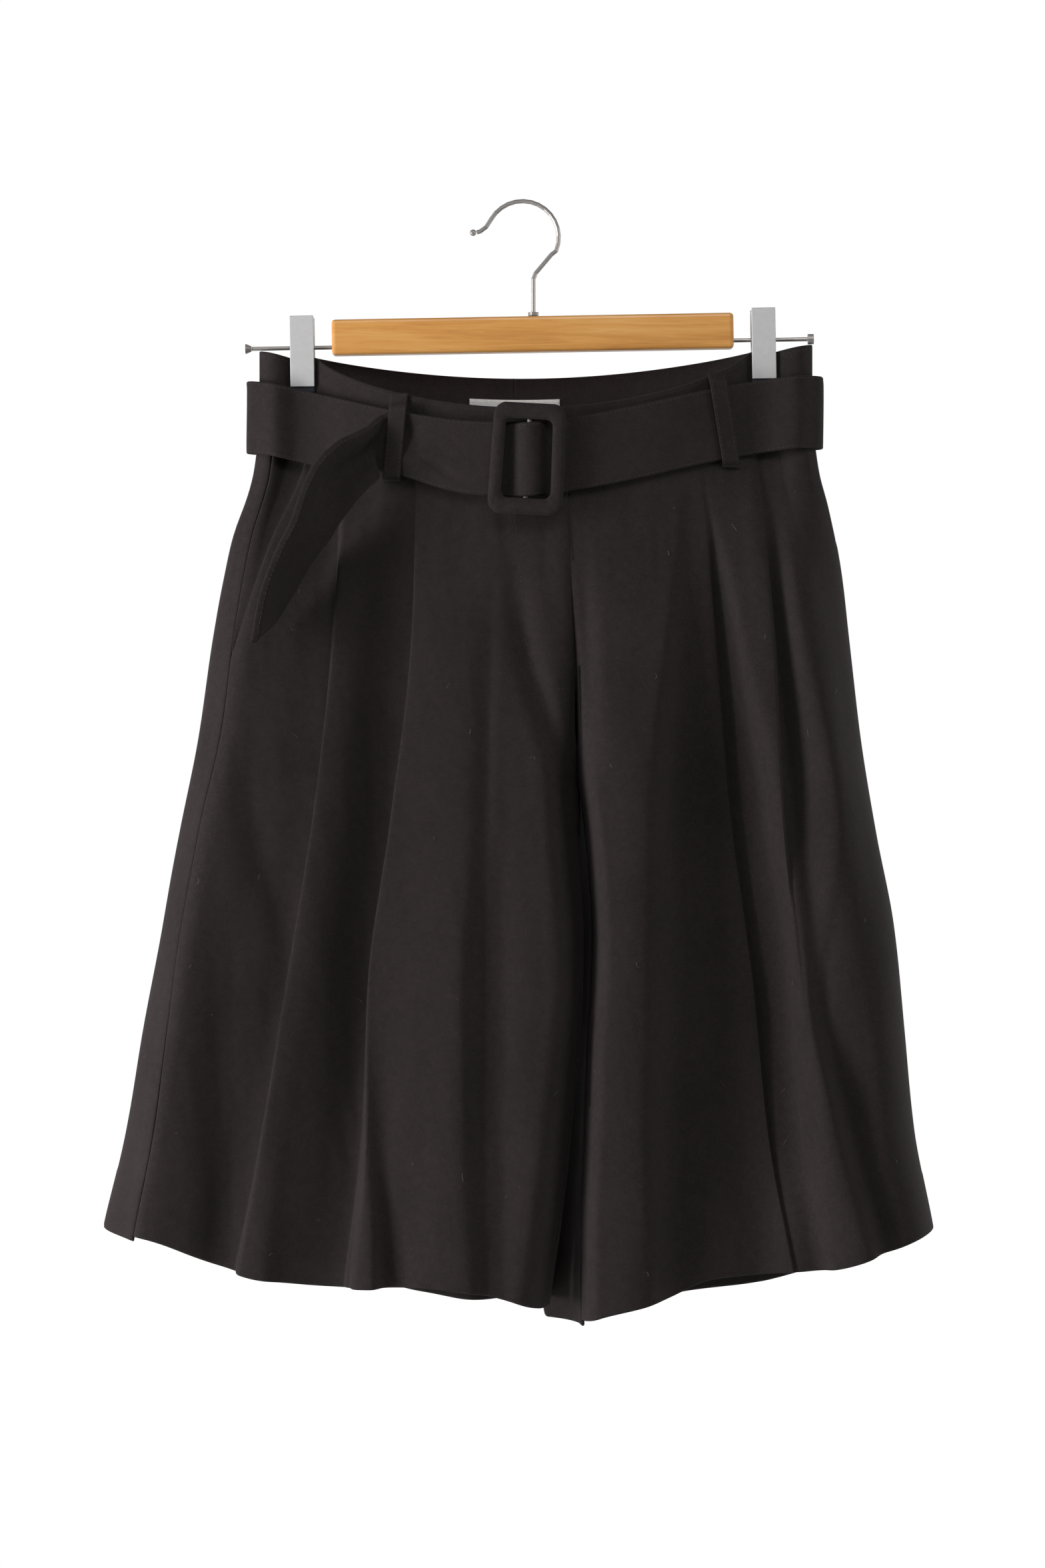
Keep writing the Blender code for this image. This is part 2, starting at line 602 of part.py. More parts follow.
def band_line(x, face, side_shift):
    """Plan points of the waist ring, moved out by side_shift along its normal."""
    sign = -1.0 if face == "front" else 1.0
    ends = np.array(WAIST_ENDS)
    step = 0.3
    before = np.clip(x - step, *ends)
    after = np.clip(x + step, *ends)
    run = np.stack([after - before, sign * (waist_depth(after, face) - waist_depth(before, face))], -1)
    normal = np.stack([-run[:, 1], run[:, 0]], -1) * sign
    normal /= np.linalg.norm(normal, axis=1, keepdims=True)
    at_end = (x <= ends[0] + 0.01) | (x >= ends[1] - 0.01)
    normal[at_end] = np.stack([np.sign(x[at_end]), 0 * x[at_end]], -1)
    return np.stack([x, sign * waist_depth(x, face)], -1) + normal * side_shift


def add_waistband(name, face, low, high, columns):
    """A waistband piece between two places on one face of the waist ring."""
    share = np.linspace(0.0, 1.0, columns)
    x = low + (high - low) * share
    ends = [end for end in (low, high) if end in WAIST_ENDS]
    extra = []
    for end in ends:
        towards = 1.0 if end == WAIST_ENDS[0] else -1.0
        extra += [end + towards * step for step in (0.0, 0.25, 1.0, 2.5, 5.0, 8.0, 12.0, 16.0)]
        x = x[np.abs(x - end) > 18]
    for clip in CLIP_CENTRES:
        if low < clip < high:
            edges = [clip - CLIP_WIDTH / 2 - 0.5, clip - CLIP_WIDTH / 2, clip + CLIP_WIDTH / 2]
            edges += [clip + CLIP_WIDTH / 2 + step for step in (1.0, 2.5, 5.0)]
            edges += [clip - CLIP_WIDTH / 2 - step for step in (1.0, 2.5, 5.0)]
            x = x[np.abs(x - clip) > CLIP_WIDTH / 2 + 5]
            extra += edges
    for split in (low, high):
        if split not in WAIST_ENDS:
            x = x[np.abs(x - split) > 1]
            extra.append(split + (HALF_SEAM if split == low else -HALF_SEAM))
    x = np.unique(np.concatenate([x, extra]))
    plan_out = band_line(x, face, 0.6)
    plan_in = band_line(x, face, 0.6 - BAND_WALL)
    sign = -1.0 if face == "front" else 1.0
    for plan in (plan_out, plan_in):
        plan[:, 1] = sign * np.maximum(sign * plan[:, 1], HALF_SEAM)
    heights = waist_top(x, face)
    rows = []
    for plan in (plan_out, plan_in):
        levels = [np.column_stack([plan, heights - BAND_HEIGHT * part]) for part in (0.0, 0.5, 1.0)]
        rows.append(np.array(levels))
    return add_object(name, wall_mesh(name, *rows), "cloth")


# ---------------------------------------------------------------- belt, tail and loops

def belt_depth(x, face):
    """Depth of the belt's outer face."""
    ends = BELT_ENDS
    inside = np.clip(x, *WAIST_ENDS)
    ring = waist_depth(inside, face) + CLEAR + BELT_STAND_OFF + BELT_WALL
    even = (ring ** 4 + BELT_END_DEPTH ** 4) ** 0.25
    reach = np.minimum(x - ends[0], ends[1] - x)
    return even * quarter(reach / BELT_END_ROLL)


def belt_middle(x, face):
    """Height of the belt's middle line."""
    share = np.clip((x - BELT_ENDS[0]) / (BELT_ENDS[1] - BELT_ENDS[0]), 0, 1)
    skew = BELT_SKEW[face] * np.sin(2 * math.pi * share)
    return BELT_Z + 0.008 * x - BELT_SAG[face] * np.sin(math.pi * share) ** 1.6 - skew


def belt_stretch(face, places):
    places = np.array(places, float)
    sign = -1.0 if face == "front" else 1.0
    return [(x, sign * belt_depth(x, face), belt_middle(x, face)) for x in places]


def end_places(end, towards):
    return [end + towards * step for step in (0.0, 0.3, 1.4, 3.5, 7.0, 12.0, 20.0)]


# Where the belt passes through the buckle: x, and its outer face's y
BELT_IN_BUCKLE = [
    dict(x=24.0, y=-41.2),
    dict(x=18.0, y=-42.2),
    dict(x=13.5, y=-46.0),
    dict(x=9.0, y=-48.8),
    dict(x=4.5, y=-49.8),
    dict(x=0.0, y=-49.0),
    dict(x=-4.5, y=-46.4),
    dict(x=-9.0, y=-44.2),
]


def belt_foot(x, face):
    """Height of the belt's lower edge, drawn up a little where the left loop squeezes it."""
    squeeze = BELT_SQUEEZE * np.exp(-(((x - LEFT_LOOP_X) / 28.0) ** 2)) * (face == "front")
    return belt_middle(x, face) - BELT_WIDTH / 2 + squeeze


def belt_edges(x, y, middle):
    """The belt's upper and lower edge where it stands upright."""
    foot = belt_foot(x, "front" if y < 0 else "back") - belt_middle(x, "front" if y < 0 else "back")
    return dict(fx=x, fy=y, fz=middle + BELT_WIDTH / 2, rx=x, ry=y, rz=middle + foot)


# The belt's free end past the loop: its front edge (fx, fy, fz) and its rear edge (rx, ry, rz)
TAIL = [
    dict(fx=-92.5, fy=-31.5, fz=-149.0, rx=-100.5, ry=-29.1, rz=-186.0),
    dict(fx=-101.2, fy=-41.0, fz=-157.5, rx=-106.0, ry=-32.5, rz=-194.5),
    dict(fx=-110.5, fy=-49.0, fz=-163.5, rx=-112.0, ry=-34.5, rz=-201.5),
    dict(fx=-120.9, fy=-57.0, fz=-169.6, rx=-118.5, ry=-36.0, rz=-208.5),
    dict(fx=-134.2, fy=-67.0, fz=-183.2, rx=-126.0, ry=-37.0, rz=-220.0),
    dict(fx=-143.7, fy=-73.0, fz=-201.7, rx=-132.6, ry=-37.0, rz=-236.0),
    dict(fx=-150.7, fy=-75.5, fz=-223.7, rx=-142.5, ry=-36.5, rz=-251.5),
    dict(fx=-160.0, fy=-76.0, fz=-242.8, rx=-153.5, ry=-35.5, rz=-269.5),
    dict(fx=-171.3, fy=-76.0, fz=-273.0, rx=-163.0, ry=-34.5, rz=-285.0),
    dict(fx=-177.9, fy=-72.0, fz=-307.0, rx=-169.4, ry=-36.0, rz=-293.5),
]
OVER_ITSELF = BELT_WALL + 0.4


def add_belt():
    """One strap. It starts at the buckle's bar, runs left and round the back, comes up behind the
    buckle, passes over the bar and its own start and through the left loop, then hangs edge-on."""
    left, right = BELT_ENDS
    path = belt_stretch("front", [-3.0, -12, -25, -40, -60, -78, -92, -106, -120, -138, -154])
    path += belt_stretch("front", end_places(left, 1.0)[::-1])
    path += belt_stretch("back", end_places(left, 1.0)[1:])
    path += belt_stretch("back", [-150, -137, -125, -113, -101, -89, -60, -25, 10, 45, 80, 104, 116, 128,
                                   142, 156, 168])
    path += belt_stretch("back", end_places(right, -1.0)[::-1])
    path += belt_stretch("front", end_places(right, -1.0)[1:])
    path += belt_stretch("front", [168, 158, 148, 138, 128, 110, 90, 66, 46, 32])
    path += [(row["x"], row["y"], belt_middle(row["x"], "front") - STRAP_DROP) for row in BELT_IN_BUCKLE]
    over = belt_stretch("front", [-16, -26, -38, -50, -64, -74, -84])
    path += [(x, y - OVER_ITSELF, z) for x, y, z in over]
    rows = [belt_edges(*place) for place in path] + TAIL
    front = np.array([[row["fx"], row["fy"], row["fz"]] for row in rows], float)
    rear = np.array([[row["rx"], row["ry"], row["rz"]] for row in rows], float)
    shares = np.array([0.0, 0.25, 0.5, 0.75, 1.0])[:, None, None]
    outer = front[None] * (1 - shares) + rear[None] * shares
    inward = np.cross(np.gradient(outer, axis=0), np.gradient(outer, axis=1))
    inward /= np.linalg.norm(inward, axis=-1, keepdims=True)
    return add_object("belt", wall_mesh("belt", outer, outer + inward * BELT_WALL), "cloth")


# Belt loops: x at the upper and lower end, and the extra layers that the belt has there
LOOPS = [
    dict(name="loop_front_left", face="front", top=-84.0, foot=-89.5, layers=1),
    dict(name="loop_front_right", face="front", top=132.8, foot=143.5, layers=0),
    dict(name="loop_back_left", face="back", top=-95.0, foot=-95.0, layers=0),
    dict(name="loop_back_right", face="back", top=110.0, foot=110.0, layers=0),
]


def body_depth_at(x, face, z):
    """Depth of the leg panels' outer face at places below the waist seam."""
    depths = []
    for place, height in zip(x, z):
        leg = "left" if place < 20 else "right"
        height = np.array([height])
        from_side = np.abs(place - column(LEGS[leg]["rows"], "out", height))
        depths.append(leg_depth(leg, face, from_side, height)[0])
    return np.array(depths)


def add_loop(row):
    """A narrow strap sewn to the waistband's top, passing over the belt, and sewn below the waist."""
    face = row["face"]
    sign = -1.0 if face == "front" else 1.0
    x_mid = (row["top"] + row["foot"]) / 2
    top_z = float(waist_top(row["top"], face))
    belt_z = float(belt_middle(x_mid, face))
    over_edge = BELT_WIDTH / 2
    low = float(belt_foot(x_mid, face))
    high = belt_z + BELT_WIDTH / 2
    heights = np.array([min(top_z - 0.5, high + 13.0), high + 6.0, high + 2.6, high + 1.2, high - 2.0,
                        belt_z, low + 2.0, low - 0.8, low - 1.8, low - 2.6, low - 5.0])
    over_share = np.array([0.0, 0.0, 0.45, 1.0, 1.0, 1.0, 1.0, 1.0, 0.5, 0.0, 0.0])
    upper = heights > belt_z
    share = (heights[0] - heights) / (heights[0] - heights[-1])
    centre = row["top"] + (row["foot"] - row["top"]) * share
    stand = CLEAR + row["layers"] * OVER_ITSELF
    inner, outer = [], []
    for part in (-0.5, 0.0, 0.5):
        x = centre + LOOP_WIDTH * part
        belt = belt_depth(x, face) + stand
        body = np.max([body_depth_at(x + step, face, heights) for step in (-4, 0, 4)], axis=0)
        under = np.where(upper, waist_depth(x, face) + 0.6, body) + 2 * SEAM
        depth = under + (np.maximum(belt, under) - under) * over_share
        run = np.stack([np.gradient(depth), np.gradient(heights)], -1)
        run /= np.linalg.norm(run, axis=1, keepdims=True)
        inner.append(np.column_stack([x, sign * depth, heights]))
        outer.append(np.column_stack([x, sign * (depth - run[:, 1] * LOOP_WALL), heights + run[:, 0] * LOOP_WALL]))
    return add_object(row["name"], wall_mesh(row["name"], np.array(outer), np.array(inner)), "cloth")


def rounded_outline(width, height, radius, per_corner=5):
    """Points of a rounded rectangle, in order."""
    points = []
    for corner in range(4):
        sx = (1, -1, -1, 1)[corner]
        sz = (1, 1, -1, -1)[corner]
        for step in range(per_corner):
            angle = math.pi / 2 * (corner + step / (per_corner - 1))
            x = (sx * (width / 2 - radius) + radius * math.cos(angle)) * (1 - BUCKLE_TAPER * sz / 2)
            z = sz * (height / 2 - radius) + radius * math.sin(angle)
            points.append((x, z))
    return np.array(points)


def add_buckle():
    """The covered frame is lofted round between its outer and inner outlines."""
    outer = rounded_outline(BUCKLE_WIDTH, BUCKLE_HEIGHT, 9.0)
    inner = rounded_outline(BUCKLE_WIDTH - 2 * BUCKLE_SIDE, BUCKLE_HEIGHT - 2 * BUCKLE_RIM, 5.0)
    sections = 10
    mesh = bmesh.new()
    rings = []
    for step in range(sections):
        angle = 2 * math.pi * step / sections
        share = (1 - math.cos(angle)) / 2
        swell = math.copysign(abs(math.sin(angle)) ** 0.7, math.sin(angle))
        flat = outer * (1 - share) + inner * share
        depth = BUCKLE_THICK / 2 * swell
        rings.append([mesh.verts.new(np.array([x, depth, z]) * MM) for x, z in flat])
    count = len(rings[0])
    for i in range(sections):
        for j in range(count):
            after, beside = (i + 1) % sections, (j + 1) % count
            mesh.faces.new((rings[i][j], rings[i][beside], rings[after][beside], rings[after][j]))
    bmesh.ops.recalc_face_normals(mesh, faces=mesh.faces)
    data = bpy.data.meshes.new("buckle_frame")
    mesh.to_mesh(data)
    mesh.free()
    data.shade_smooth()
    frame = add_object("buckle_frame", data, "cloth")
    place_in_buckle(frame, BUCKLE_BACK_Y - BUCKLE_THICK / 2)
    length = BUCKLE_HEIGHT - 2 * BUCKLE_RIM - 2 * SEAM
    bar = add_cylinder("buckle_bar", BAR_RADIUS, length, "steel", "Z", sides=12)
    place_in_buckle(bar, BUCKLE_BACK_Y - 0.6)


def place_in_buckle(obj, y):
    obj.location = (BUCKLE_X * MM, y * MM, BUCKLE_Z * MM)
    obj.rotation_euler = (0.0, BUCKLE_LEAN, 0.0)


# ---------------------------------------------------------------- hanger

def add_cylinder(name, radius, length, finish, axis, sides=16, radius_end=None):
    """A cylinder or cone about its own centre, along one axis."""
    mesh = bmesh.new()
    end = radius if radius_end is None else radius_end
    bmesh.ops.create_cone(mesh, cap_ends=True, segments=sides, radius1=radius * MM, radius2=end * MM,
                          depth=length * MM)
    turn = {"Z": (0, 0, 0), "X": (0, math.pi / 2, 0), "Y": (-math.pi / 2, 0, 0)}[axis]
    data = bpy.data.meshes.new(name)
    mesh.to_mesh(data)
    mesh.free()
    data.shade_smooth()
    data.set_sharp_from_angle(angle=math.radians(40))
    obj = add_object(name, data, finish)
    turn_mesh(data, turn)
    return obj


def turn_mesh(data, turn):
    from_angles = rotation(turn)
    for vertex in data.vertices:
        vertex.co = from_angles @ np.array(vertex.co)


def rotation(turn):
    x, y, z = turn
    about_x = np.array([[1, 0, 0], [0, math.cos(x), -math.sin(x)], [0, math.sin(x), math.cos(x)]])
    about_y = np.array([[math.cos(y), 0, math.sin(y)], [0, 1, 0], [-math.sin(y), 0, math.cos(y)]])
    about_z = np.array([[math.cos(z), -math.sin(z), 0], [math.sin(z), math.cos(z), 0], [0, 0, 1]])
    return about_z @ about_y @ about_x


def add_box(name, size, finish, bevel=0.0, segments=2):
    mesh = bmesh.new()
    bmesh.ops.create_cube(mesh, size=1.0)
    for vertex in mesh.verts:
        vertex.co = [vertex.co[i] * size[i] * MM for i in range(3)]
    if bevel:
        bmesh.ops.bevel(mesh, geom=mesh.edges[:], offset=bevel * MM, segments=segments, profile=0.5,
                        affect="EDGES")
    data = bpy.data.meshes.new(name)
    mesh.to_mesh(data)
    mesh.free()
    data.shade_smooth()
    data.set_sharp_from_angle(angle=math.radians(40))
    return add_object(name, data, finish)


def in_hanger(obj, x, y, z, lean=0.0):
    """Places a piece by the middle of the bar, and tilts it with the hanger."""
    turned_x = x * math.cos(HANGER_TILT) - z * math.sin(HANGER_TILT)
    turned_z = x * math.sin(HANGER_TILT) + z * math.cos(HANGER_TILT)
    obj.location = ((HANGER_X + turned_x) * MM, y * MM, (HANGER_Z + turned_z) * MM)
    obj.rotation_euler = (lean, -HANGER_TILT, 0.0)
    return obj


def add_hanger():
    bar = in_hanger(add_box("hanger_bar", BAR_SIZE, "wood", bevel=2.5, segments=3), 0, 0, 0)
    for side, end in zip(("left", "right"), ROD_ENDS):
        towards = -1.0 if side == "left" else 1.0
        local_end = (end - HANGER_X)
        inner_end = towards * (BAR_SIZE[0] / 2 - ROD_SOCKET + 0.5)
        length = abs(local_end - inner_end)
        middle = (local_end + inner_end) / 2
        rod = add_cylinder(f"hanger_rod_{side}", ROD_RADIUS, length, "steel", "X", sides=12)
        in_hanger(rod, middle, 0, ROD_DROP)
        cutter = add_cylinder(f"socket_{side}", ROD_RADIUS + SEAM, ROD_SOCKET * 2, "steel", "X", sides=12)
        in_hanger(cutter, towards * BAR_SIZE[0] / 2, 0, ROD_DROP)
        hide_cutter(cutter)
        cut = bar.modifiers.new(f"socket_{side}", "BOOLEAN")
        cut.operation = "DIFFERENCE"
        cut.object = cutter
        knob = add_cylinder(f"hanger_knob_{side}", KNOB_RADIUS, KNOB_LENGTH, "steel", "X", sides=20,
                            radius_end=KNOB_RADIUS * 0.55 if side == "left" else None)
        in_hanger(knob, local_end + towards * (KNOB_LENGTH / 2 + SEAM), 0, ROD_DROP)
    for side, centre in zip(("left", "right"), CLIP_CENTRES):
        add_clip(side, centre - HANGER_X)
    add_hook()


def hide_cutter(obj):
    GARMENT.objects.unlink(obj)
    CUTTERS.objects.link(obj)
    obj.hide_render = True
    obj.display_type = "WIRE"


def add_clip(side, x):
    """Two flat plates squeezed towards the cloth, a rubber pad under each, and a hub on the rod."""
    pad_wall = 1.8
    hub_radius = PINCH["back"] + 0.6 + SEAM + pad_wall
    plate_mid_z = ROD_DROP + CLIP_ABOVE_ROD - CLIP_HEIGHT / 2
    pad_z = ROD_DROP + CLIP_ABOVE_ROD - CLIP_HEIGHT - PAD_HEIGHT / 2 + 4.0
    for face, sign in (("front", -1.0), ("back", 1.0)):
        jaw = PINCH[face] + 0.6 + SEAM
        foot = jaw + pad_wall + SEAM
        plate = add_box(f"clip_{side}_{face}", (CLIP_WIDTH, CLIP_PLATE, CLIP_HEIGHT), "steel", bevel=0.4,
                        segments=1)
        in_hanger(plate, x, sign * (foot + CLIP_PLATE / 2), plate_mid_z)
        pad = add_box(f"clip_pad_{side}_{face}", (CLIP_WIDTH, pad_wall, PAD_HEIGHT * 1.6), "pad", bevel=0.4,
                      segments=1)
        in_hanger(pad, x, sign * (jaw + pad_wall / 2), pad_z)
    hub = add_tube(f"clip_hub_{side}", hub_radius, ROD_RADIUS + SEAM, HUB_LENGTH)
    in_hanger(hub, x, 0, ROD_DROP)


def add_tube(name, outer, inner, length):
    """A short tube along X, from a turned profile."""
    profile = [(inner, -length / 2), (outer, -length / 2), (outer, length / 2), (inner, length / 2)]
    sides = 20
    mesh = bmesh.new()
    rings = []
    for step in range(sides):
        angle = 2 * math.pi * step / sides
        rings.append([mesh.verts.new(np.array([x, r * math.cos(angle), r * math.sin(angle)]) * MM)
                      for r, x in profile])
    for i in range(sides):
        for j in range(4):
            k = (j + 1) % 4
            after = (i + 1) % sides
            mesh.faces.new((rings[i][j], rings[i][k], rings[after][k], rings[after][j]))
    bmesh.ops.recalc_face_normals(mesh, faces=mesh.faces)
    data = bpy.data.meshes.new(name)
    mesh.to_mesh(data)
    mesh.free()
    data.shade_smooth()
    data.set_sharp_from_angle(angle=math.radians(40))
    return add_object(name, data, "steel")


def add_hook():
    """A wire: up from the bar, out to the right, and three quarters of a turn to a small ball."""
    bar_top = HANGER_Z + BAR_SIZE[2] / 2
    top_z = HOOK_WIRE - HOOK_RADIUS
    points = [(HOOK_STEM_X, bar_top + 0.5), (HOOK_STEM_X, bar_top + 14), (HOOK_STEM_X, bar_top + 26),
              (HOOK_STEM_X + 1.5, bar_top + 30), (HOOK_STEM_X + 12.5, bar_top + 43)]
    for step in range(15):
        angle = math.radians(-22 + 172 * step / 14)
        points.append((HOOK_RADIUS * math.cos(angle), top_z + HOOK_RADIUS * math.sin(angle)))
    points += [(-25.0, top_z + 7.2), (-29.0, top_z + 4.2), (-31.5, top_z + 3.4)]
    curve = bpy.data.curves.new("hanger_hook", "CURVE")
    curve.dimensions = "3D"
    curve.bevel_depth = HOOK_WIRE * MM
    curve.bevel_resolution = 3
    curve.use_fill_caps = True
    spline = curve.splines.new("POLY")
    spline.points.add(len(points) - 1)
    for place, (x, z) in zip(spline.points, points):
        place.co = (x * MM, 0.0, z * MM, 1.0)
    hook = bpy.data.objects.new("hanger_hook", curve)
    GARMENT.objects.link(hook)
    curve.materials.append(material("steel"))
    ball_mesh = bmesh.new()
    bmesh.ops.create_uvsphere(ball_mesh, u_segments=14, v_segments=9, radius=2.3 * MM)
    data = bpy.data.meshes.new("hanger_hook_ball")
    ball_mesh.to_mesh(data)
    ball_mesh.free()
    data.shade_smooth()
    ball = add_object("hanger_hook_ball", data, "steel")
    ball.location = ((-31.5 - 2.3 - SEAM) * MM, 0.0, (top_z + 3.2) * MM)
    collar = add_tube("hanger_collar", 3.6, HOOK_WIRE + SEAM, 2.4)
    collar.rotation_euler = (0.0, math.pi / 2, 0.0)
    collar.location = (HOOK_STEM_X * MM, 0.0, (bar_top + SEAM + 1.5) * MM)


def add_label():
    """The bare label inside the back waistband."""
    x = np.linspace(-37.0, 26.0, 7)
    inner_face = 0.6 - BAND_WALL - SEAM
    tops = waist_top(x, "back") - 15.0
    grids = []
    for shift in (inner_face, inner_face - 0.6):
        plan = band_line(x, "back", shift)
        grids.append(np.array([np.column_stack([plan, tops]), np.column_stack([plan, tops - 24.0])]))
    return add_object("label", wall_mesh("label", *grids), "label")


def add_garment():
    for leg in ("left", "right"):
        for face in ("front", "back"):
            add_panel(leg, face)
        add_pocket_facing(leg)
    low, high = WAIST_ENDS
    add_waistband("waistband_front_left", "front", low, FRONT_SPLIT_X, 16)
    add_waistband("waistband_front_right", "front", FRONT_SPLIT_X, high, 14)
    add_waistband("waistband_back_left", "back", low, BACK_SPLIT_X, 14)
    add_waistband("waistband_back_right", "back", BACK_SPLIT_X, high, 16)
    add_belt()
    for row in LOOPS:
        add_loop(row)
    add_buckle()
    add_label()


for old in list(bpy.data.objects):
    bpy.data.objects.remove(old, do_unlink=True)
GARMENT = bpy.data.collections.new("bermuda_shorts")
bpy.context.scene.collection.children.link(GARMENT)
CUTTERS = bpy.data.collections.new("cutters")
bpy.context.scene.collection.children.link(CUTTERS)
add_garment()
add_hanger()
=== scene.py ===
import math

import bmesh
import bpy
import numpy as np
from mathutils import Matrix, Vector


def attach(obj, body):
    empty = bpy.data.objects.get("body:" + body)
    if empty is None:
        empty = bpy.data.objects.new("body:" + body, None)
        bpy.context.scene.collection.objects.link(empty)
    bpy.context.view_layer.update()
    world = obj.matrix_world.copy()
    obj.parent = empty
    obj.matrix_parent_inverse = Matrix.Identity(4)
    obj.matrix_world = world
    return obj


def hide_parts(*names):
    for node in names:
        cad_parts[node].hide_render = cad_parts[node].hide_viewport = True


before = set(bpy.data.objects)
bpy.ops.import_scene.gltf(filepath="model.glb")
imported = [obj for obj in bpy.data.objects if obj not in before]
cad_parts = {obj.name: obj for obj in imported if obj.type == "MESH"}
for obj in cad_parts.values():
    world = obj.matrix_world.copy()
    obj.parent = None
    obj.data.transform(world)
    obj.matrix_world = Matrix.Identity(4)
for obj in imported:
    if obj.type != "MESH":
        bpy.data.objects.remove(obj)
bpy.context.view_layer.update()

# Bermuda shorts on a clip hanger. Millimetres in the tables, metres in the meshes. The front faces -Y,
# "left" and "right" are the viewer's, and the origin is the inner top of the hanger's hook.

MM = 0.001

# Walls and gaps
CLOTH = 1.5
BAND_WALL = 2.2
BELT_WALL = 2.4
SEAM = 0.3
HALF_SEAM = SEAM / 2
CLEAR = 0.6

# Waistband: a ring pinched flat at the two clips, bowed between them
BAND_HEIGHT = 46.0
WAIST_ENDS = (-181.0, 199.5)
CLIP_CENTRES = (-152.0, 166.0)
CLIP_WIDTH = 16.5
PINCH = {"front": 3.2, "back": 2.0}
WAIST_BOW = {"front": 33.0, "back": 21.0}
WAIST_SAG = {"front": 41.0, "back": 14.0}
WAIST_SAG_POWER = {"front": 0.63, "back": 0.8}
CLIP_LINE_Z = -105.0
TILT = 0.012
END_RISE = 5.0
END_LOOP = 5.0
FRONT_SPLIT_X = 28.5
BACK_SPLIT_X = -6.0

# Belt and buckle
BELT_WIDTH = 50.0
BELT_ENDS = (-190.5, 207.5)
BELT_STAND_OFF = 3.0
BELT_END_DEPTH = 10.0
BELT_END_ROLL = 20.0
BELT_Z = -146.5
BELT_SAG = {"front": 33.0, "back": 12.0}
BELT_SKEW = {"front": 4.0, "back": 0.0}
BELT_SQUEEZE = 6.0
LEFT_LOOP_X = -84.0
STRAP_DROP = 1.2
BUCKLE_X = 3.4
BUCKLE_Z = -180.6
BUCKLE_WIDTH = 50.0
BUCKLE_HEIGHT = 75.5
BUCKLE_SIDE = 8.6
BUCKLE_RIM = 10.8
BUCKLE_TAPER = 0.05
BUCKLE_THICK = 6.4
BUCKLE_LEAN = math.radians(3.0)
BUCKLE_BACK_Y = -44.6
LOOP_WIDTH = 12.0
LOOP_WALL = 1.6

# Levels
CROTCH_Z = -401.0
WAIST_BLEND = 130.0
HEM_START_Z = -450.0
HEM_LEVEL = -745.0
SEAM_LEVEL = -190.0
WAIST_SEAM = 0.5
TOP_FADE_Z = -300.0

# y's sign on each face, and a mask that keeps a vector's y
SIGN = {"front": -1.0, "back": 1.0}
DEPTH_ONLY = np.array([0.0, 1.0, 0.0])
# Waves summed in each uneven surface, and the least step between a panel's key grid lines
RIPPLES = 7
LEAST_STEP = 0.2


def table(names, *rows):
    """Rows of numbers under these column names."""
    return [dict(zip(names.split(), row)) for row in rows]


# Outline and depths of the left leg. out: silhouette x; seam: side seam's distance inside it, seen on
# the front; side, mid: depth near the side and at the middle; back_side, back_mid the same behind.
LEFT = table(
    "z out seam side mid back_side back_mid",
    (-140, -180.5, 11.0, 10, 34, 8, 22),
    (-185, -185.5, 12.0, 12, 36, 10, 25),
    (-235, -201.0, 14.0, 17, 39, 14, 28),
    (-300, -213.5, 15.5, 22, 42, 19, 32),
    (-365, -223.0, 17.0, 27, 44, 23, 34),
    (-430, -236.0, 15.5, 31, 44, 27, 36),
    (-500, -249.0, 16.0, 34, 45, 30, 37),
    (-560, -260.0, 19.5, 36, 46, 32, 38),
    (-640, -274.0, 23.5, 38, 48, 34, 40),
    (-710, -289.5, 25.0, 40, 50, 36, 42),
    (-775, -300.0, 26.0, 40, 50, 36, 42),
)
# The right leg's seam lies behind its silhouette, so seam is negative.
RIGHT = table(
    "z out seam side mid back_side back_mid",
    (-140, 199.0, -16.0, 10, 34, 8, 22),
    (-185, 205.0, -16.0, 12, 36, 10, 25),
    (-210, 211.5, -16.0, 15, 38, 12, 27),
    (-250, 219.5, -16.5, 18, 40, 15, 29),
    (-300, 225.5, -17.0, 22, 42, 19, 32),
    (-365, 233.0, -17.0, 27, 43, 23, 34),
    (-435, 244.5, -17.0, 31, 44, 27, 36),
    (-500, 256.5, -18.0, 34, 46, 30, 37),
    (-573, 264.0, -19.0, 36, 48, 32, 38),
    (-640, 270.5, -20.0, 38, 49, 34, 40),
    (-706, 283.0, -21.0, 40, 50, 36, 42),
    (-775, 294.0, -22.0, 40, 50, 36, 42),
)
# Centre seams above the crotch. front, back: their x; front_in, back_in: their depths.
CENTRE = table(
    "z front back front_in back_in",
    (-140, 28.5, -6.0, 35, 22),
    (-210, 28.8, -1.0, 35, 26),
    (-250, 31.0, 5.0, 34, 28),
    (-300, 34.5, 15.0, 31, 28),
    (-345, 36.4, 25.0, 25, 24),
    (-375, 37.0, 32.0, 16, 15),
    (-392, 37.3, 36.0, 7, 6),
    (-401, 37.5, 37.5, 0, 0),
)
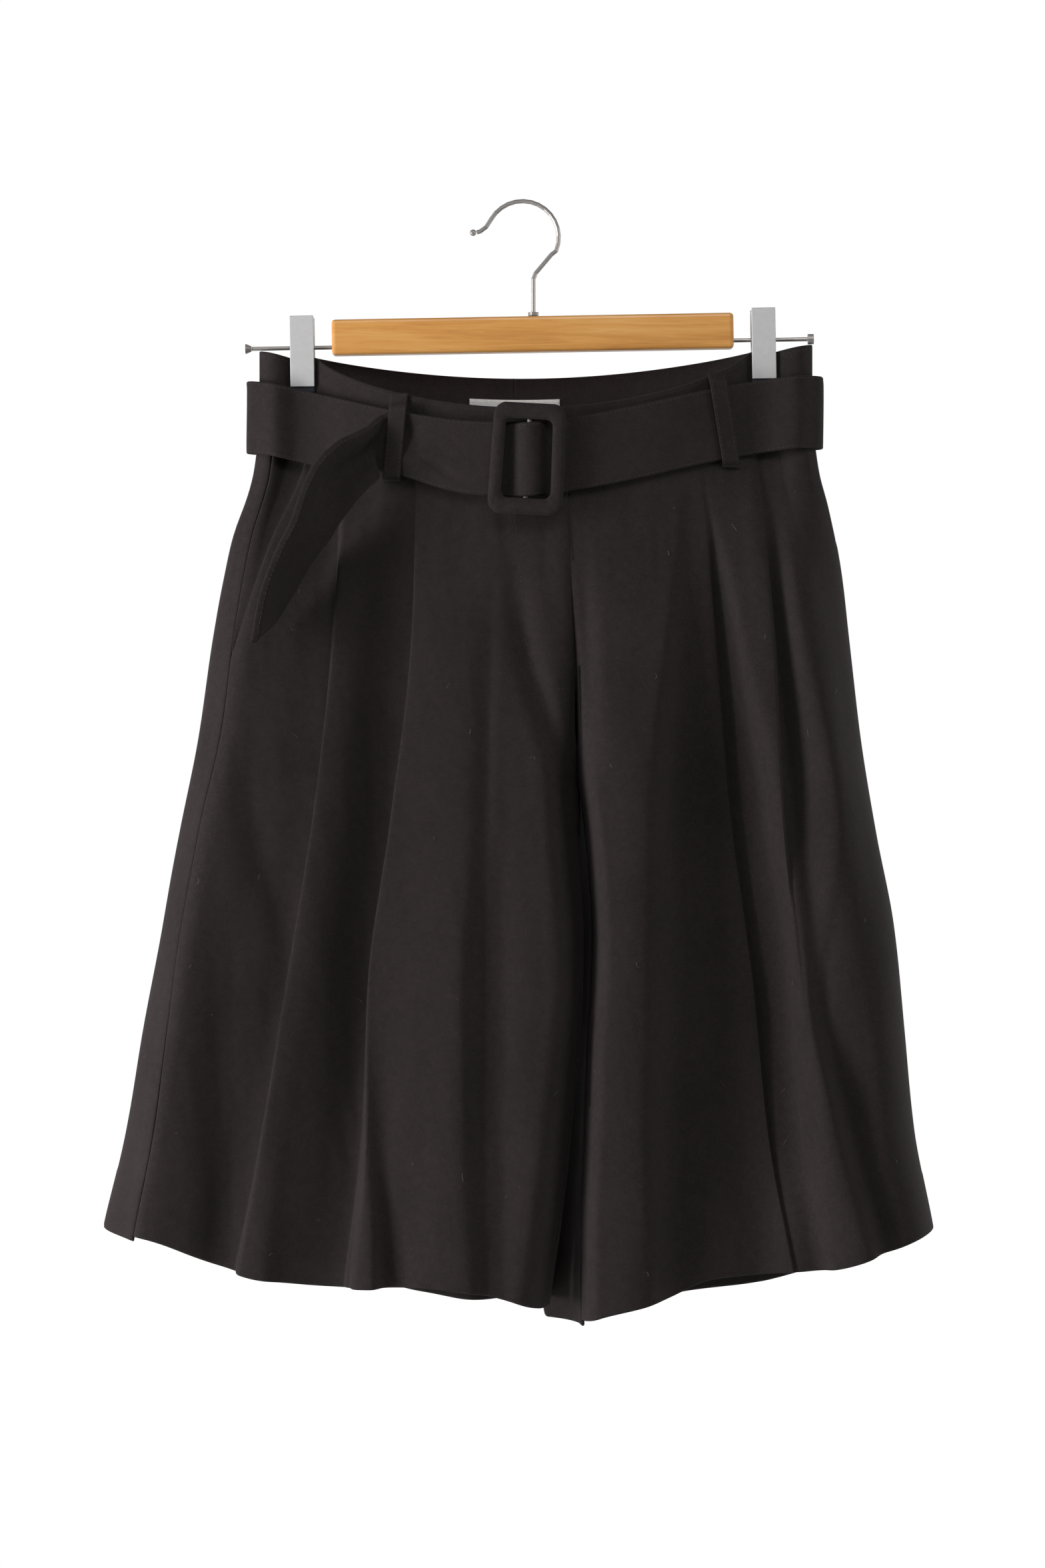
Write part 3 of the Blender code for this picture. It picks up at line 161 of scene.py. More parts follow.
# Inner edges below the crotch. left: left leg's inseam; right: right leg's inseam, seen from the
# front; tuck: how far the right leg's back runs on to the left of that seam, behind the left leg;
# left_in, right_in: how far forward both inseams lie; turn_in: how far back the tucked part turns.
INNER = table(
    "z left right tuck left_in right_in turn_in",
    (-401, 37.5, 37.5, 0.0, 0, 0, 0),
    (-415, 38.3, 39.8, 2.6, 1, 3, 15),
    (-430, 39.0, 42.0, 6.0, 2, 6, 19),
    (-465, 41.0, 45.5, 8.5, 4, 10, 20),
    (-505, 43.0, 47.5, 9.2, 5, 13, 20),
    (-540, 42.6, 46.5, 8.8, 6, 16, 20),
    (-575, 40.5, 44.3, 8.6, 7, 18, 20),
    (-640, 34.5, 42.0, 12.5, 8, 20, 22),
    (-709, 26.5, 39.5, 19.0, 9, 22, 25),
    (-757, 19.5, 39.5, 26.0, 10, 24, 25),
    (-785, 16.5, 40.0, 21.5, 10, 24, 25),
)
# Hem heights round each leg
HEM_LEFT = table(
    "x front back",
    (-290, -705, -705),
    (-262, -707.5, -711),
    (-205, -728, -728),
    (-178, -736, -736),
    (-113, -742, -749),
    (-70, -741, -757),
    (-31, -745, -762),
    (14, -757, -757),
)
HEM_RIGHT = table(
    "x front back",
    (16, -772, -772),
    (39.5, -766, -771),
    (60, -760, -768),
    (97, -751, -761),
    (129, -738.5, -755),
    (157, -735.5, -750),
    (206, -731, -740),
    (240, -721.5, -727),
    (284, -706, -706),
)
ROLL_OUT = 30.0
ROLL_IN = {
    ("left", "front"): 26.0,
    ("right", "front"): 13.0,
    ("left", "back"): 34.0,
    ("right", "back"): 34.0,
}

# Folds of the cloth, one row each. x, lift, and the reaches out (towards the side) and inn (towards the
# centre) are read at the six heights below; a single number holds for all of them. lap is how far a
# pleat's edge hangs over its own foot: such an edge is crisp, and out is then the width of its foot.
# A power above 2 gives the fold a flat bottom.
FOLD_Z = (-190.0, -300.0, -420.0, -540.0, -640.0, -740.0)
FOLDS_LEFT_FRONT = [
    dict(name="side_ridge", x=(-170, -190, -215, -235, -251, -261), lift=(1, 3, 6, 9, 9, 8), out=10,
         inn=(26, 34, 44, 54, 54, 46)),
    dict(name="b_foot", x=(-122, -129, -142, -161, -177, -196), lift=(-3, -9, -11, -11, -10, -8),
         out=(30, 40, 50, 46, 40, 30), inn=2),
    dict(name="pleat_b", x=(-122, -129, -142, -161, -177, -195), lift=(4, 6, 5, 5, 5, 3), out=3,
         inn=(30, 26, 24, 26, 24, 24), lap=(1, 3, 3.5, 3.5, 3, 1)),
    dict(name="b_band", x=(-112, -123, -136, -154, -170, -176), lift=(0, 0, 1, 2, 3, 6),
         out=(10, 10, 10, 8, 10, 18), inn=(8, 8, 8, 12, 14, 10)),
    dict(name="under_b", x=(-72, -75, -88, -104, -107, -117), lift=(-11, -15, -15, -14, -12, -8),
         out=(46, 40, 30, 26, 30, 32), inn=2),
    dict(name="pleat_a", x=(-72, -75, -89, -105, -109, -119), lift=(3, 5, 6, 6, 4, 2), out=3, inn=38,
         lap=(2, 4, 4.5, 4.5, 3, 1)),
    dict(name="a_band", x=(-95, -95, -98, -102, -102, -101), lift=(0, 0, 0, 0, 3, 7),
         out=(10, 10, 10, 8, 8, 16), inn=6),
    dict(name="a_dip", x=(-80, -85, -90, -95, -97, -93), lift=(0, 0, 0, -1, -3, -4), out=5, inn=17),
    dict(name="m_ridge", x=(-38, -38, -36, -43, -42, -37), lift=(0, 1, 6, 10, 10, 10), out=36, inn=15),
    dict(name="m_valley", x=(-22, -22, -26, -29, -29, -26), lift=(0, -1, -2, -2, -2, -2), out=9, inn=5),
    dict(name="n_ridge", x=(0, 0, 0, 2, 2, 0), lift=(0, 0, 2, 4, 5, 5), out=16, inn=22),
    dict(name="n_side", x=(20, 20, 38, 48, 48, 46), lift=(0, 0, 3, 9, 9, 8), out=(20, 20, 22, 26, 26, 26),
         inn=20),
    dict(name="side_crease", x=(-206, -196, -186, -152, -150, -150), lift=(0, 0, -2, -1, 0, 0), out=12,
         inn=14),
    dict(name="side_dip", x=(-205, -208, -210, -206, -205, -210), lift=(0, 0, -1, -2, -3, -1), out=16,
         inn=18),
    dict(name="fly_dip", x=(-12, 1, 33, 38, 38, 38), lift=(-1, -5, -6, 0, 0, 0), out=9, inn=9),
]
FOLDS_RIGHT_FRONT = [
    dict(name="inner_ridge", x=(48, 63, 72, 74, 73, 70), lift=(0, 2, 4, 5, 5, 4), out=24, inn=24),
    dict(name="bowl", x=(118, 119, 122, 124, 122, 120), lift=(-1, -9, -19, -21, -20, -15),
         out=(7, 24, 44, 58, 66, 66), inn=(7, 17, 28, 31, 31, 28), power=5),
    dict(name="bowl_right", x=(121, 143, 161, 180, 188, 197), lift=(-2, -8, -11, -12, -10, -8),
         out=(4, 5, 7, 8, 11, 16), inn=(14, 28, 42, 52, 58, 58)),
    dict(name="pleat_c", x=(122.3, 132, 142.6, 158.4, 168, 185.5), lift=(2, 3.5, 4, 4, 3, 2), out=3,
         inn=(8, 11, 14, 16, 16, 16), lap=(0.5, 1, 1, 0.6, 0.3, 0)),
    dict(name="c_wedge", x=(125, 136, 148, 164, 174, 190), lift=(-0.5, -1, -1, -0.5, 0, 0), out=8, inn=4),
    dict(name="pleat_d", x=(160, 170, 176.5, 188, 196, 210), lift=(3, 5, 4.5, 2.5, 0, 0), out=3.5,
         inn=(14, 12, 9, 8, 12, 12), lap=(0.5, 1.2, 1.5, 0.5, 0, 0)),
    dict(name="e_wedge", x=(164, 177, 189, 199, 204, 217), lift=(-1, -2.5, -4.5, -3, 0, 0),
         out=(4, 6, 8, 9, 9, 9), inn=(4, 5, 7, 8, 8, 8)),
    dict(name="ridge_f", x=(178, 192, 215, 218, 220, 224), lift=(3, 12, 10, 3, 0, 0),
         out=(22, 22, 20, 14, 14, 14), inn=(8, 11, 14, 14, 14, 14)),
    dict(name="d_band", x=(185, 186, 188, 192, 214, 243), lift=(0, 0, 0, 4, 9, 9), out=6,
         inn=(10, 10, 10, 10, 19, 30)),
    dict(name="d_foot", x=(175, 178, 182, 178, 189, 206), lift=(0, 0, 0, -3, -4, -4), out=4, inn=12),
    dict(name="lower_dip", x=(215, 218, 224, 208, 222, 250), lift=(0, 0, -1, -4, -5, -5), out=16, inn=7),
    dict(name="fly_gap", x=(35, 43, 46, 46, 46, 46), lift=(-2, -5, -1, 0, 0, 0), out=7, inn=8),
]
FOLDS_LEFT_BACK = [
    dict(name="ridge_1", x=(-120, -142, -166, -190, -206, -222), lift=(0, 2, 5, 8, 9, 10), out=18, inn=26),
    dict(name="dip_1", x=(-85, -98, -114, -134, -148, -158), lift=(0, -2, -5, -8, -9, -9), out=22, inn=18),
    dict(name="ridge_2", x=(-55, -64, -74, -84, -92, -95), lift=(0, 3, 5, 7, 8, 9), out=20, inn=16),
    dict(name="dip_2", x=(-25, -28, -30, -34, -36, -38), lift=(0, -1, -3, -5, -6, -6), out=16, inn=16),
]
FOLDS_RIGHT_BACK = [
    dict(name="ridge_1", x=(135, 156, 178, 198, 210, 218), lift=(0, 3, 5, 7, 8, 9), out=20, inn=22),
    dict(name="dip_1", x=(105, 120, 136, 149, 158, 165), lift=(0, -2, -5, -8, -9, -9), out=18, inn=24),
    dict(name="ridge_2", x=(80, 86, 95, 103, 108, 110), lift=(0, 2, 5, 7, 8, 8), out=22, inn=16),
    dict(name="dip_2", x=(60, 63, 67, 69, 69, 68), lift=(0, -1, -3, -4, -4, -4), out=12, inn=12),
]
LEGS = {
    "left": dict(rows=LEFT, hem=HEM_LEFT, inward=1.0, front=FOLDS_LEFT_FRONT, back=FOLDS_LEFT_BACK),
    "right": dict(rows=RIGHT, hem=HEM_RIGHT, inward=-1.0, front=FOLDS_RIGHT_FRONT, back=FOLDS_RIGHT_BACK),
}

# Slash pocket: at the top its edge is this far from the side seam, which it meets at its foot
POCKET_OPENING = 27.0
POCKET_TOP_Z = -150.0
POCKET_FOOT_Z = -314.0
POCKET_LAP = 10.0
FACING_WALL = 1.2


# ---------------------------------------------------------------- tables and smooth curves

def column(rows, name, at, key="z"):
    """Reads a table's column at a height or place, along a smooth curve that never overshoots."""
    knots = np.array([row[key] for row in rows], float)
    values = np.array([row[name] for row in rows], float)
    return smooth_curve(knots, values, at)


def smooth_curve(knots, values, at):
    order = np.argsort(knots)
    knots, values = knots[order], values[order]
    steps = np.diff(knots)
    slopes = np.diff(values) / steps
    ends = np.concatenate([[slopes[0]], slopes, [slopes[-1]]])
    before, after = ends[:-1], ends[1:]
    same = before * after > 0
    tangent = np.where(same, 2 * before * after / np.where(same, before + after, 1.0), 0.0)
    at = np.clip(np.asarray(at, float), knots[0], knots[-1])
    i = np.clip(np.searchsorted(knots, at) - 1, 0, len(steps) - 1)
    h = steps[i]
    t = (at - knots[i]) / h
    return (
        values[i] * (1 + 2 * t) * (1 - t) ** 2
        + tangent[i] * h * t * (1 - t) ** 2
        + values[i + 1] * t * t * (3 - 2 * t)
        + tangent[i + 1] * h * t * t * (t - 1)
    )


def ease(value):
    value = np.clip(value, 0.0, 1.0)
    return value * value * (3 - 2 * value)


def quarter(value):
    """Quarter of an ellipse: 0 at 0 with an upright start, 1 from 1 on."""
    return np.sqrt(1 - (1 - np.clip(value, 0.0, 1.0)) ** 2)


# ---------------------------------------------------------------- waist ring

def between_clips(x):
    """0 at each clip's inner edge and outside it, 1 in the middle, as a half sine."""
    low = CLIP_CENTRES[0] + CLIP_WIDTH / 2 + 1
    high = CLIP_CENTRES[1] - CLIP_WIDTH / 2 - 1
    return np.sin(np.pi * np.clip((x - low) / (high - low), 0.0, 1.0))


def past_clip(x):
    """0 at a clip's outer edge, 1 at that end of the waist."""
    left = (CLIP_CENTRES[0] - CLIP_WIDTH / 2 - x) / (CLIP_CENTRES[0] - CLIP_WIDTH / 2 - WAIST_ENDS[0])
    right = (x - CLIP_CENTRES[1] - CLIP_WIDTH / 2) / (WAIST_ENDS[1] - CLIP_CENTRES[1] - CLIP_WIDTH / 2)
    return np.clip(np.maximum(left, right), 0.0, 1.0)


def waist_depth(x, face):
    past = past_clip(x)
    bow = WAIST_BOW[face] * between_clips(x) ** 0.8
    return (PINCH[face] + bow + END_LOOP * np.sin(np.pi * past)) * quarter((1 - past) / 0.35)


def waist_top(x, face):
    """Height of the waistband's upper edge."""
    share = between_clips(x)
    sag = WAIST_SAG[face] * (share ** 2 / (share + 0.05)) ** WAIST_SAG_POWER[face]
    return CLIP_LINE_Z + TILT * x + END_RISE * past_clip(x) - sag


# ---------------------------------------------------------------- the skin of the legs

def inner_x(leg, face, z):
    """x of the centre seam above the crotch and of the inseam below it."""
    above = column(CENTRE, face, z)
    below = column(INNER, leg, z)
    return np.where(z > CROTCH_Z, above, below)


def inner_depth(leg, face, z):
    """Depth of that seam in front of y = 0, or behind it for the back."""
    above = column(CENTRE, face + "_in", z)
    forward = column(INNER, leg + "_in", z)
    below = forward if face == "front" else -forward
    return np.where(z > CROTCH_Z, above, below)


def at_heights(value, z):
    """A fold's number, or its six numbers, read at a height."""
    if isinstance(value, (int, float)):
        return value
    return smooth_curve(np.array(FOLD_Z), np.array(value, float), z)


def fold_across(fold, inward, x, z):
    """Distance from a fold's crest, before its edge is pulled over: towards the centre is positive."""
    crest = at_heights(fold["x"], z) + inward * at_heights(fold.get("lap", 0), z)
    return (x - crest) * inward


def fold_shape(fold, across, z):
    out, inn = at_heights(fold["out"], z), at_heights(fold["inn"], z)
    power = fold.get("power", 2)
    if "lap" in fold:
        near = np.clip(1 + across / out, 0.0, 1.0)
    else:
        near = np.exp(-(np.abs(across / out) ** power))
    return np.where(across > 0, np.exp(-(np.abs(across / inn) ** power)), near)


def fold_offset(leg, face, x, z):
    inward = LEGS[leg]["inward"]
    total = np.zeros(np.broadcast(x, z).shape)
    for fold in LEGS[leg][face]:
        shape = fold_shape(fold, fold_across(fold, inward, x, z), z)
        total = total + at_heights(fold["lift"], z) * shape
    return total


def lap_shift(leg, face, x, z):
    """How far the pleats' edges pull the cloth sideways, over their own feet."""
    inward = LEGS[leg]["inward"]
    total = np.zeros(np.broadcast(x, z).shape)
    for fold in LEGS[leg][face]:
        if "lap" in fold:
            across = fold_across(fold, inward, x, z)
            pulled = np.where(across > 0, 1 - ease(across / 15), np.clip(1 + across / fold["out"], 0.0, 1.0))
            total = total - inward * at_heights(fold["lap"], z) * pulled
    return total


def leg_depth(leg, face, from_side, z):
    """Depth of the cloth's outer face at a distance inside the silhouette, in plan."""
    rows = LEGS[leg]["rows"]
    inward = LEGS[leg]["inward"]
    prefix = "" if face == "front" else "back_"
    out = column(rows, "out", z)
    edge = inner_x(leg, face, z)
    if face == "back" and leg == "right":
        edge = edge - tuck(z)
    width = (edge - out) * inward
    x = out + inward * from_side
    share = np.clip(from_side / width, 0.0, 1.0)
    side = column(rows, prefix + "side", z)
    mid = column(rows, prefix + "mid", z)
    plateau = side + (mid - side) * np.sin(math.pi / 2 * np.clip(share * 1.25, 0, 1))
    plateau = plateau + fold_offset(leg, face, x, z)
    seam = inner_depth(leg, face, z)
    if face == "back" and leg == "right":
        seam = np.where(z > CROTCH_Z, seam, seam + tuck_depth(z))
    legs = (plateau - seam) * quarter((width - from_side) / ROLL_IN[leg, face]) + seam
    legs = legs * quarter(from_side / ROLL_OUT)
    spread = (x - column(LEFT, "out", z)) / (column(RIGHT, "out", z) - column(LEFT, "out", z))
    waist = waist_depth(WAIST_ENDS[0] + spread * (WAIST_ENDS[1] - WAIST_ENDS[0]), face)
    share_of_leg = ease((waist_top(x, face) - BAND_HEIGHT - z) / WAIST_BLEND)
    return waist * (1 - share_of_leg) + legs * share_of_leg


def tuck(z):
    return np.where(z > CROTCH_Z, 0.0, column(INNER, "tuck", z))


def tuck_depth(z):
    """How far behind the right inseam the tucked back turns round."""
    return np.where(z > CROTCH_Z, 0.0, column(INNER, "turn_in", z) + column(INNER, "right_in", z))


def skin(leg, around, z):
    """Points of the cloth's outer face. around is the distance from the silhouette, + on the front,
    - on the back; on the right leg's back, past the inner turn, it runs on round to the inseam."""
    rows = LEGS[leg]["rows"]
    inward = LEGS[leg]["inward"]
    out = column(rows, "out", z)
    front = around >= 0
    span = np.abs(around)
    edge = inner_x(leg, "back", z) - (tuck(z) if leg == "right" else 0.0)
    width = (edge - out) * inward
    past = np.clip(span - width, 0.0, None) * (~front)
    within = np.where(front, span, np.minimum(span, width))
    depth = np.where(front, -leg_depth(leg, "front", within, z), leg_depth(leg, "back", within, z))
    x = out + inward * within
    if leg == "right":
        length = np.maximum(tuck(z), 1e-6)
        turn = np.clip(past / length, 0.0, 1.0)
        x = x + tuck(z) * (1 - (1 - turn) ** 2) * (past > 0)
        depth = depth - tuck_depth(z) * turn * (past > 0)
    return np.stack([x, depth, z + 0 * x], axis=-1)


def plan_normal(points_before, points_after, inward):
    """Unit normal in plan, pointing out of the cloth, from two neighbours along the ring."""
    along = points_after[..., :2] - points_before[..., :2]
    return unit(np.stack([along[..., 1], -along[..., 0]], axis=-1) * inward)


def moved_in(points, normal, inside):
    """Points moved in from the skin, in plan."""
    moved = points.copy()
    moved[..., :2] -= normal * inside[..., None]
    return moved


def panel_width(leg, face, z):
    """Distance from the silhouette to a panel's inner edge, in plan."""
    return (inner_x(leg, face, z) - column(LEGS[leg]["rows"], "out", z)) * LEGS[leg]["inward"]


def skin_walls(leg, around, z, outer, inner):
    """Two faces of a wall at these distances inside the skin."""
    inward = LEGS[leg]["inward"]
    ahead = np.minimum(around + 0.4, panel_width(leg, "front", z))
    behind = np.maximum(around - 0.4, -panel_width(leg, "back", z) - (tuck(z) if leg == "right" else 0.0))
    normal = plan_normal(skin(leg, behind, z), skin(leg, ahead, z), inward)
    here = skin(leg, around, z)
    return [moved_in(here, normal, inside) for inside in (outer, inner)]


def level_z(leg, face, level, x):
    """Height of a level at x: the waist seam's and the hem's curves fade out between them."""
    seam_line = waist_top(x, face) - BAND_HEIGHT - WAIST_SEAM
    hem_line = column(LEGS[leg]["hem"], face, x, key="x")
    top = ease((level - TOP_FADE_Z) / (SEAM_LEVEL - TOP_FADE_Z))
    foot = ease((HEM_START_Z - level) / (HEM_START_Z - HEM_LEVEL))
    return level + (seam_line - SEAM_LEVEL) * top + (hem_line - HEM_LEVEL) * foot


def pocket_edge(z, seam):
    """Distance of the slash pocket's edge from the silhouette: it runs into the side seam below."""
    share = np.clip((z - POCKET_FOOT_Z) / (POCKET_TOP_Z - POCKET_FOOT_Z), 0.0, 1.0)
    return seam + POCKET_OPENING * share ** 0.9 * (z > POCKET_FOOT_Z)


# Sewn edges meet with hardly a gap
TOUCH = -0.08
EDGE_LINES = (-7.0, -4.5, -3.5, -2.8, -2.1, -1.4, -0.8, -0.3, 0.15, 0.6, 1.6, 4.0)


def front_places(leg, z):
    """Distances of a front panel's key grid lines from the silhouette, following its crisp pleats."""
    rows, inward = LEGS[leg]["rows"], LEGS[leg]["inward"]
    end = panel_width(leg, "front", z)
    start = pocket_edge(z, column(rows, "seam", z))
    inside = [end - step for step in (44, 31, 20, 13, 8, 4.5, 2.2, 1.1)]
    for fold in LEGS[leg]["front"]:
        if "lap" in fold:
            line = -fold_across(fold, inward, column(rows, "out", z), z)
            inside += [line + step for step in EDGE_LINES]
    if leg == "right":
        inside += [0 * z + step for step in (-1.5, 0, 1.5, 7, 16)]
    return np.sort(np.array([start + TOUCH, *inside, end - TOUCH]), axis=0)


def back_places(leg, z):
    """The same for a back panel, as distances that grow from the side seam round to the inner edge."""
    end = panel_width(leg, "back", z)
    start = -column(LEGS[leg]["rows"], "seam", z) + HALF_SEAM
    if leg == "left":
        first = [start, start + 4, start * 0.35, 0 * z, 1.5 + 0 * z, 7.0 + 0 * z, 17.0 + 0 * z]
        last = [end - step for step in (20, 9, 3, 0.6, HALF_SEAM)]
    else:
        first = [start, start + 4.0, start + 11.0]
        turn = tuck(z)
        end = end + turn
        last = [end - 20, end - 9, end - 3, end - 0.7, end + turn * 0.15, end + turn * 0.5,
                end + turn - HALF_SEAM]
    shares = (0.16, 0.27, 0.36, 0.45, 0.54, 0.63, 0.72, 0.80)
    middle = [32.0 + (end - 32.0) * (share - 0.1) / 0.78 for share in shares]
    return np.array([*first, *middle, *last])


def settle_places(places):
    """Puts each level's distances in order, keeping the first and the last."""
    for i in range(1, len(places) - 1):
        places[i] = np.clip(places[i], places[i - 1] + LEAST_STEP, None)
    for i in range(len(places) - 2, 0, -1):
        places[i] = np.minimum(places[i], places[i + 1] - LEAST_STEP)
    return places


def unit(vectors):
    return vectors / np.maximum(np.linalg.norm(vectors, axis=-1, keepdims=True), 1e-9)


def band_line(x, face, side_shift):
    """Plan points of the waist ring, moved out by side_shift along its normal."""
    sign = SIGN[face]
    low, high = WAIST_ENDS
    before, after = np.clip(x - 0.3, low, high), np.clip(x + 0.3, low, high)
    rise = sign * (waist_depth(after, face) - waist_depth(before, face))
    normal = unit(np.stack([-rise, after - before], -1) * sign)
    at_end = (x <= low + 0.01) | (x >= high - 0.01)
    normal[at_end] = np.stack([np.sign(x[at_end]), 0 * x[at_end]], -1)
    return np.stack([x, sign * waist_depth(x, face)], -1) + normal * side_shift


# ---------------------------------------------------------------- belt, tail and loops

def belt_depth(x, face):
    """Depth of the belt's outer face."""
    ring = waist_depth(np.clip(x, *WAIST_ENDS), face) + CLEAR + BELT_STAND_OFF + BELT_WALL
    even = (ring ** 4 + BELT_END_DEPTH ** 4) ** 0.25
    return even * quarter(np.minimum(x - BELT_ENDS[0], BELT_ENDS[1] - x) / BELT_END_ROLL)


def belt_middle(x, face):
    """Height of the belt's middle line."""
    share = np.clip((x - BELT_ENDS[0]) / (BELT_ENDS[1] - BELT_ENDS[0]), 0, 1)
    skew = BELT_SKEW[face] * np.sin(2 * math.pi * share)
    return BELT_Z + 0.008 * x - BELT_SAG[face] * np.sin(math.pi * share) ** 1.6 - skew


def belt_foot(x, face):
    """Height of the belt's lower edge, drawn up a little where the left loop squeezes it."""
    squeeze = BELT_SQUEEZE * np.exp(-(((x - LEFT_LOOP_X) / 28.0) ** 2)) * (face == "front")
    return belt_middle(x, face) - BELT_WIDTH / 2 + squeeze


def belt_stretch(face, places):
    """x, y and middle height of the belt's outer face at these places."""
    return [(x, SIGN[face] * belt_depth(x, face), belt_middle(x, face)) for x in np.array(places, float)]


def belt_edges(x, y, middle):
    """The belt's upper and lower edge where it stands upright."""
    face = "front" if y < 0 else "back"
    foot = belt_foot(x, face) - belt_middle(x, face)
    return (x, y, middle + BELT_WIDTH / 2, x, y, middle + foot)


# Steps in from the belt's side ends, where it turns round
TURN_STEPS = (0.0, 0.3, 1.4, 3.5, 7.0, 12.0, 20.0)
# Where the belt passes through the buckle: x, and its outer face's y
BELT_IN_BUCKLE = ((24.0, -41.2), (18.0, -42.2), (13.5, -46.0), (9.0, -48.8), (4.5, -49.8), (0.0, -49.0),
                  (-4.5, -46.4), (-9.0, -44.2))
# The belt's free end past the loop: x, y, z of its front edge, then of its rear edge
TAIL = [
    (-92.5, -31.5, -149.0, -100.5, -29.1, -186.0),
    (-101.2, -41.0, -157.5, -106.0, -32.5, -194.5),
    (-110.5, -49.0, -163.5, -112.0, -34.5, -201.5),
    (-120.9, -57.0, -169.6, -118.5, -36.0, -208.5),
    (-134.2, -67.0, -183.2, -126.0, -37.0, -220.0),
    (-143.7, -73.0, -201.7, -132.6, -37.0, -236.0),
    (-150.7, -75.5, -223.7, -142.5, -36.5, -251.5),
    (-160.0, -76.0, -242.8, -153.5, -35.5, -269.5),
    (-171.3, -76.0, -273.0, -163.0, -34.5, -285.0),
    (-177.9, -72.0, -307.0, -169.4, -36.0, -293.5),
]
OVER_ITSELF = BELT_WALL + 0.4


def belt_rows():
    """The strap's edges: from the buckle's bar left and round the back, up behind the buckle, over the
    bar and its own start, through the left loop, and down edge-on."""
    left = [BELT_ENDS[0] + step for step in TURN_STEPS]
    right = [BELT_ENDS[1] - step for step in TURN_STEPS]
    path = belt_stretch("front", [-3, -12, -25, -40, -60, -78, -92, -106, -120, -138, -154, *left[::-1]])
    path += belt_stretch("back", [*left[1:], -150, -137, -125, -113, -101, -89, -60, -25, 10, 45, 80, 104,
                                  116, 128, 142, 156, 168, *right[::-1]])
    path += belt_stretch("front", [*right[1:], 168, 158, 148, 138, 128, 110, 90, 66, 46, 32])
    path += [(x, y, belt_middle(x, "front") - STRAP_DROP) for x, y in BELT_IN_BUCKLE]
    over = belt_stretch("front", [-16, -26, -38, -50, -64, -74, -84])
    path += [(x, y - OVER_ITSELF, z) for x, y, z in over]
    return [belt_edges(*place) for place in path] + TAIL


# Belt loops: name, face, x at the upper and lower end, and the extra layers that the belt has there
LOOPS = [
    ("loop_front_left", "front", -84.0, -89.5, 1),
    ("loop_front_right", "front", 132.8, 143.5, 0),
    ("loop_back_left", "back", -95.0, -95.0, 0),
    ("loop_back_right", "back", 110.0, 110.0, 0),
]


def body_depth_at(x, face, z):
    """Depth of the leg panels' outer face at places below the waist seam."""
    depths = []
    for place, height in zip(x, z):
        leg = "left" if place < 20 else "right"
        height = np.array([height])
        from_side = np.abs(place - column(LEGS[leg]["rows"], "out", height))
        depths.append(leg_depth(leg, face, from_side, height)[0])
    return np.array(depths)


# ---------------------------------------------------------------- meshes

def new_mesh(name, points, faces, uv=None):
    """A smooth mesh of points in millimetres, with a pair of UV values for each face's corners."""
    mesh = bpy.data.meshes.new(name)
    mesh.from_pydata((np.asarray(points) * MM).tolist(), [], faces)
    if uv is not None:
        mesh.uv_layers.new(name="cloth").data.foreach_set("uv", np.ravel(uv))
    mesh.shade_smooth()
    return mesh


def surface_mesh(name, outer, inner):
    """A closed wall between two grids of points, with the cloth's own coordinates as UV."""
    rows, columns = outer.shape[:2]
    count = rows * columns
    points = np.concatenate([outer.reshape(-1, 3), inner.reshape(-1, 3)])
    index = np.arange(count).reshape(rows, columns)
    a, b, c, d = index[:-1, :-1], index[:-1, 1:], index[1:, 1:], index[1:, :-1]
    faces = [np.stack([a, b, c, d], -1).reshape(-1, 4), np.stack([a, d, c, b], -1).reshape(-1, 4) + count]
    for first, second in ((b[0], a[0]), (d[-1], c[-1]), (a[:, 0], d[:, 0]), (c[:, -1], b[:, -1])):
        faces.append(np.stack([first, second, second + count, first + count], -1))
    faces = np.concatenate(faces)
    turned = np.cross(points[b] - points[a], points[d] - points[a])
    if np.sum(turned * (points[a] - points[a + count])) < 0:
        faces = faces[:, ::-1]
    uv = np.tile(cloth_coordinates(outer).reshape(-1, 2), (2, 1))
    return new_mesh(name, points, faces.tolist(), uv[faces.ravel()])


def add_object(name, data):
    made = bpy.data.objects.new(name, data)
    bpy.context.scene.collection.objects.link(made)
    return made


def add_piece(name, mesh, finish, replaced=()):
    piece = add_object(name, mesh)
    mesh.materials.append(FINISH[finish])
    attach(piece, "root")
    if replaced:
        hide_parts(*replaced)
    return piece


def add_cloth(node, outer, inner, finish="cloth", **cut):
    """The cloth that stands for one solid, in place of its CAD part; the flat cut in metres and the other
    values passed in cut are not used.
    """
    name = f"{node}_cloth"
    piece = add_piece(name, surface_mesh(name, outer, inner), finish, [node])


def cloth_coordinates(grid):
    """Distances along the rows and down the columns of a grid, in metres, as UV."""
    across = np.linalg.norm(np.diff(grid, axis=1), axis=2)
    down = np.linalg.norm(np.diff(grid, axis=0), axis=2)
    u = np.concatenate([np.zeros((grid.shape[0], 1)), np.cumsum(across, axis=1)], axis=1)
    v = np.concatenate([np.zeros((1, grid.shape[1])), np.cumsum(down, axis=0)], axis=0)
    return np.stack([u - u.mean(axis=1, keepdims=True), -v], -1) * MM


def normals_towards(grid, guide):
    """A grid's unit normals, on the side that the guide points to."""
    normal = unit(np.cross(np.gradient(grid, axis=0), np.gradient(grid, axis=1)))
    return -normal if np.sum(normal * guide) < 0 else normal


